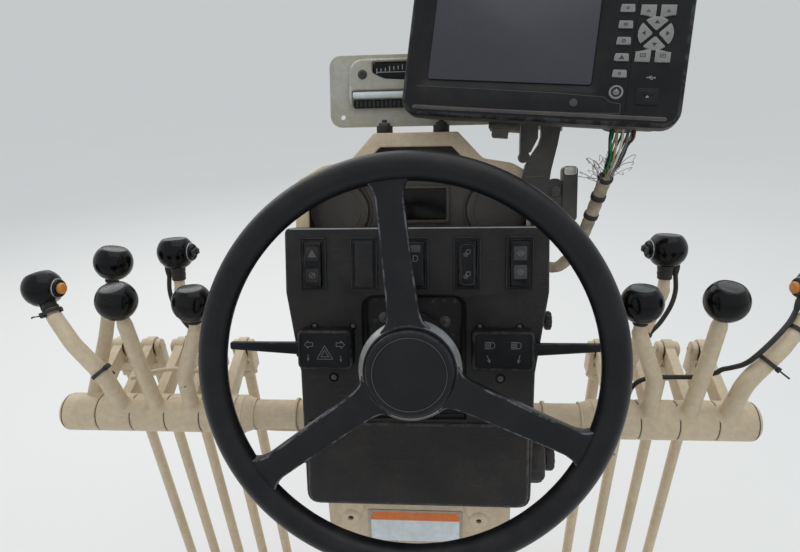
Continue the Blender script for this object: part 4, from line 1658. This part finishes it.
def build_arm(scene):
    sizes = scene.console_sizes
    arm = Mould().solid("monitor_arm").soften(1.6, 3)
    for u, v, radius, head, kind in ((164.5, 176, 6, 4.2, "hex"), (164.5, 148, 6, 4.2, "hex"),
                                     (160, 258, 5, 3.6, "socket"), (134, 262, 4, 3, "socket")):
        arm.screw(FACE @ at(u, v, -22), radius, head, kind)
    arm.mat = 1
    # The lock lever ends in a bare aluminium cap.
    arm.place = FACE @ at(181.5, 200, -27)
    arm.box(15, 11, -9.4, 9.4, 3, 1.4)
    make(arm, "monitor_bracket", ["dark_steel", "bright_metal"], "console", ["monitor_arm"])

    route = [(214.6, 2.8, 1015.1), (213, -1.9, 1003.1), (214, 4, 984), (212, 22, 955), (207, 34, 922), (201, 42, 893),
             (193, 47, 870), (184, 50, 854), (174, 50, 846), (162.3, 50, 846)]
    rng = random.Random(7)
    path = smooth(route, 7)
    loom = Mould()
    bare = 18
    # The wrapped part: overlapping turns of tape make it swell and shrink.
    span, lap_width = 1.7, 9.0
    body, radii = split(path[bare:], span), []
    for i, p in enumerate(body):
        lap = (i * span / lap_width) % 1.0
        swell = 0.55 * (1 - lap) + 0.5 * noise.noise(p * 0.08)
        start = min(1.0, i / 6)
        radii.append((6.6 + swell + 0.6 * sin(i * 0.05)) * (0.72 + 0.28 * start))
    loom.tube(body, radii, 18, dome=0.3)
    # Dark bands and a connector on the wrapped part
    loom.mat = 1
    for index, wide in ((1, 4), (14, 6), (27, 6), (52, 8)):
        loom.place = towards(body[index], body[index + 1])
        loom.lathe([(6, 0), (8.3, 0), (8.5, 0.6), (8.5, wide - 0.6), (8.3, wide), (6, wide)], 24, True)
    loom.place = at(190, 44, 872) @ turned(28, "Y")
    loom.box(15, 12, -9, 10, 2.5, 1.0)
    loom.box(10, 8, 9, 15, 2, 0.8)
    loom.place = Matrix()
    # Coloured wires fan out of the monitor's gland and gather at the tape.
    names = "white orange green white blue black green yellow white grey black orange".split()
    wires = ["black_rubber" if key == "black" else "wire_" + key for key in names]
    order = ["loom_tape", "black_rubber"] + sorted(set(wires) - {"black_rubber"}) + ["bright_metal"]
    wire_r = sizes.wire / MM / 2
    for k, finish_name in enumerate(wires):
        loom.mat = order.index(finish_name)
        a = 2 * pi * k / len(wires) + 0.3
        line = []
        for step, spread in ((0, 12.0), (2, 11.6), (6, 10.0), (10, 8.0), (14, 6.0), (17, 4.4), (bare + 3, 3.0)):
            # The first point is inside the case; the wires lean to the right on their way up.
            p = path[step] if step else path[0] + (path[0] - path[2]).normalized() * 9
            p = p + Vector((8 * (1 - min(1, step / bare)), 0, 0))
            twist = a + 0.03 * step
            wobble = Vector((rng.uniform(-1, 1), rng.uniform(-1, 1), rng.uniform(-1, 1))) * (0.9 if step else 0)
            line.append(p + Vector((cos(twist) * spread, sin(twist) * spread * 0.7, 0)) + wobble)
        loom.tube(smooth(line, 5), wire_r, 7, dome=0.6)
    # Frayed strands of the shield stand out round the end of the tape.
    loom.mat = order.index("bright_metal")
    strand_r = sizes.strand / MM / 2
    for k in range(34):
        a = rng.uniform(0, 2 * pi)
        out = Vector((cos(a), 0.7 * sin(a), 0))
        start = path[bare + rng.randint(-2, 2)] + out * 5.5
        reach, rise, curl = rng.uniform(7, 24), rng.uniform(-6, 20), rng.uniform(-12, 12)
        side = Vector((-out.y, out.x, 0))
        line = [start - Vector((0, 0, 4)), start + out * 2] + [
            start + out * reach * far + Vector((0, 0, rise * high)) + side * curl * round_by
            for far, high, round_by in ((0.55, 0.7, 0.2), (0.95, 1, 0.9), (0.8, 0.6, 1.2))]
        loom.tube(smooth(line, 4), strand_r, 5)
    make(loom, "loom", order, "console", ["monitor_loom"])


class CONSOLE_OT_arm(Operator):
    """Builds the monitor's arm, clamp and loom with its wires"""
    bl_idname = "console.arm"
    bl_label = "Monitor arm and loom"

    def execute(self, context):
        build_arm(context.scene)
        return {"FINISHED"}


def build_stage(scene):
    scene.view_settings.view_transform = "Standard"
    tint = tuple(scene.console_colours.floor)
    floor = bpy.data.meshes.new("floor")
    radii, around = (0.0, 1.0, 3.0, 9.0, 30.0, 120.0, 600.0), 48
    floor_bm = bmesh.new()
    rows = [[floor_bm.verts.new((x, y, 0)) for x, y in polygon(r, around if r else 1)] for r in radii]
    for a, b in zip(rows, rows[1:]):
        for k in range(around):
            j = (k + 1) % around
            floor_bm.faces.new([a[0], b[k], b[j]] if len(a) == 1 else [a[k], b[k], b[j], a[j]])
    floor_bm.to_mesh(floor)
    floor_bm.free()
    obj = bpy.data.objects.new("floor", floor)
    scene.collection.objects.link(obj)
    material = bpy.data.materials.new("floor")
    material.use_nodes = True
    net = Net(material.node_tree)
    where = net.where()
    base = net.mix(net.noise(where, 1.5, 3.0), tint, shade(tint, 0.97))
    shader = net.add("ShaderNodeBsdfPrincipled", Base_Color=base, Roughness=0.85)
    shader.inputs["Specular IOR Level"].default_value = 0.0
    net.put(net.add("ShaderNodeOutputMaterial").inputs["Surface"], shader.outputs[0])
    floor.materials.append(material)

    # What the camera sees beyond the floor is as light as the far floor, so no horizon shows.
    world = bpy.data.worlds.new("studio")
    scene.world = world
    world.use_nodes = True
    net = Net(world.node_tree)
    ray = net.add("ShaderNodeLightPath")
    seen = net.math("MAXIMUM", ray.outputs["Is Camera Ray"], ray.outputs["Is Transmission Ray"])
    sky, strength = (0.93, 0.96, 1.0), 0.78
    light = net.add("ShaderNodeBackground", Color=sky, Strength=strength)
    far = tuple(0.985 * strength * t * s for t, s in zip(tint, sky))
    plain = net.add("ShaderNodeBackground", Color=far, Strength=1.0)
    mixed = net.add("ShaderNodeMixShader", Fac=seen)
    net.put(mixed.inputs[1], light.outputs[0])
    net.put(mixed.inputs[2], plain.outputs[0])
    net.put(net.add("ShaderNodeOutputWorld").inputs["Surface"], mixed.outputs[0])

    lamps = (("key", (-1.4, 1.9, 2.6), 2.6, 2.2, 24, (1.0, 0.97, 0.93)),
             ("sky", (0.4, 0.2, 3.4), 3.2, 3.0, 26, (0.95, 0.98, 1.0)))
    aim = Vector((0, 0, 0.75))
    for name, spot, wide_m, tall_m, power, rgb in lamps:
        data = bpy.data.lights.new(name, "AREA")
        data.shape, data.size, data.size_y, data.energy, data.color = "RECTANGLE", wide_m, tall_m, power, rgb
        lamp = bpy.data.objects.new(name, data)
        scene.collection.objects.link(lamp)
        lamp.location = spot
        lamp.rotation_euler = (aim - Vector(spot)).to_track_quat("-Z", "Y").to_euler()

    # The camera stands at the driver's eye; the angles come from the fit to the photograph.
    yaw, pitch, roll = radians(4.6), radians(22.35), radians(1.9)
    eye, sensor, focal_px, width_px = (33.7, -645, 1121), 36, 590, 800
    f = Vector((-sin(yaw) * cos(pitch), cos(yaw) * cos(pitch), -sin(pitch)))
    r = Vector((cos(yaw), sin(yaw), 0))
    d = f.cross(r)
    right = r * cos(roll) + d * sin(roll)
    down = -r * sin(roll) + d * cos(roll)
    data = bpy.data.cameras.new("eye")
    data.sensor_fit, data.sensor_width, data.lens = "HORIZONTAL", sensor, sensor * focal_px / width_px
    data.clip_start = 0.02
    camera = bpy.data.objects.new("eye", data)
    camera.matrix_world = Matrix([(right[k], -down[k], -f[k], eye[k] * MM) for k in range(3)] + [(0, 0, 0, 1)])
    scene.collection.objects.link(camera)
    scene.camera = camera


class CONSOLE_OT_stage(Operator):
    """Builds the floor, the lamps, the world and the camera"""
    bl_idname = "console.stage"
    bl_label = "Stage"

    def execute(self, context):
        build_stage(context.scene)
        return {"FINISHED"}


OPERATORS = (CONSOLE_OT_finishes, CONSOLE_OT_floor_mount, CONSOLE_OT_panel, CONSOLE_OT_switches, CONSOLE_OT_wheel,
             CONSOLE_OT_levers, CONSOLE_OT_knobs, CONSOLE_OT_rods, CONSOLE_OT_cables, CONSOLE_OT_pod,
             CONSOLE_OT_slope_meter, CONSOLE_OT_monitor, CONSOLE_OT_arm, CONSOLE_OT_stage)


class CONSOLE_PT_tools(Panel):
    """Lists the pieces and the settings in the sidebar"""
    bl_label = "Control Console"
    bl_idname = "CONSOLE_PT_tools"
    bl_space_type = "VIEW_3D"
    bl_region_type = "UI"
    bl_category = "Console"

    def draw(self, context):
        layout = self.layout
        for operator in OPERATORS:
            layout.operator(operator.bl_idname)
        for settings in (context.scene.console_sizes, context.scene.console_colours):
            box = layout.box()
            for key in type(settings).__annotations__:
                box.prop(settings, key)


CLASSES = (ConsoleSizes, ConsoleColours, *OPERATORS, CONSOLE_PT_tools)


def register():
    for cls in CLASSES:
        bpy.utils.register_class(cls)
    bpy.types.Scene.console_sizes = PointerProperty(type=ConsoleSizes)
    bpy.types.Scene.console_colours = PointerProperty(type=ConsoleColours)


def unregister():
    del bpy.types.Scene.console_colours
    del bpy.types.Scene.console_sizes
    for cls in reversed(CLASSES):
        bpy.utils.unregister_class(cls)


def main():
    """Builds the pieces and the stage, and notes the size of both models."""
    register()
    for operator in OPERATORS:
        family, name = operator.bl_idname.split(".")
        getattr(getattr(bpy.ops, family), name)()
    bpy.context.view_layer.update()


if __name__ == "__main__":
    main()
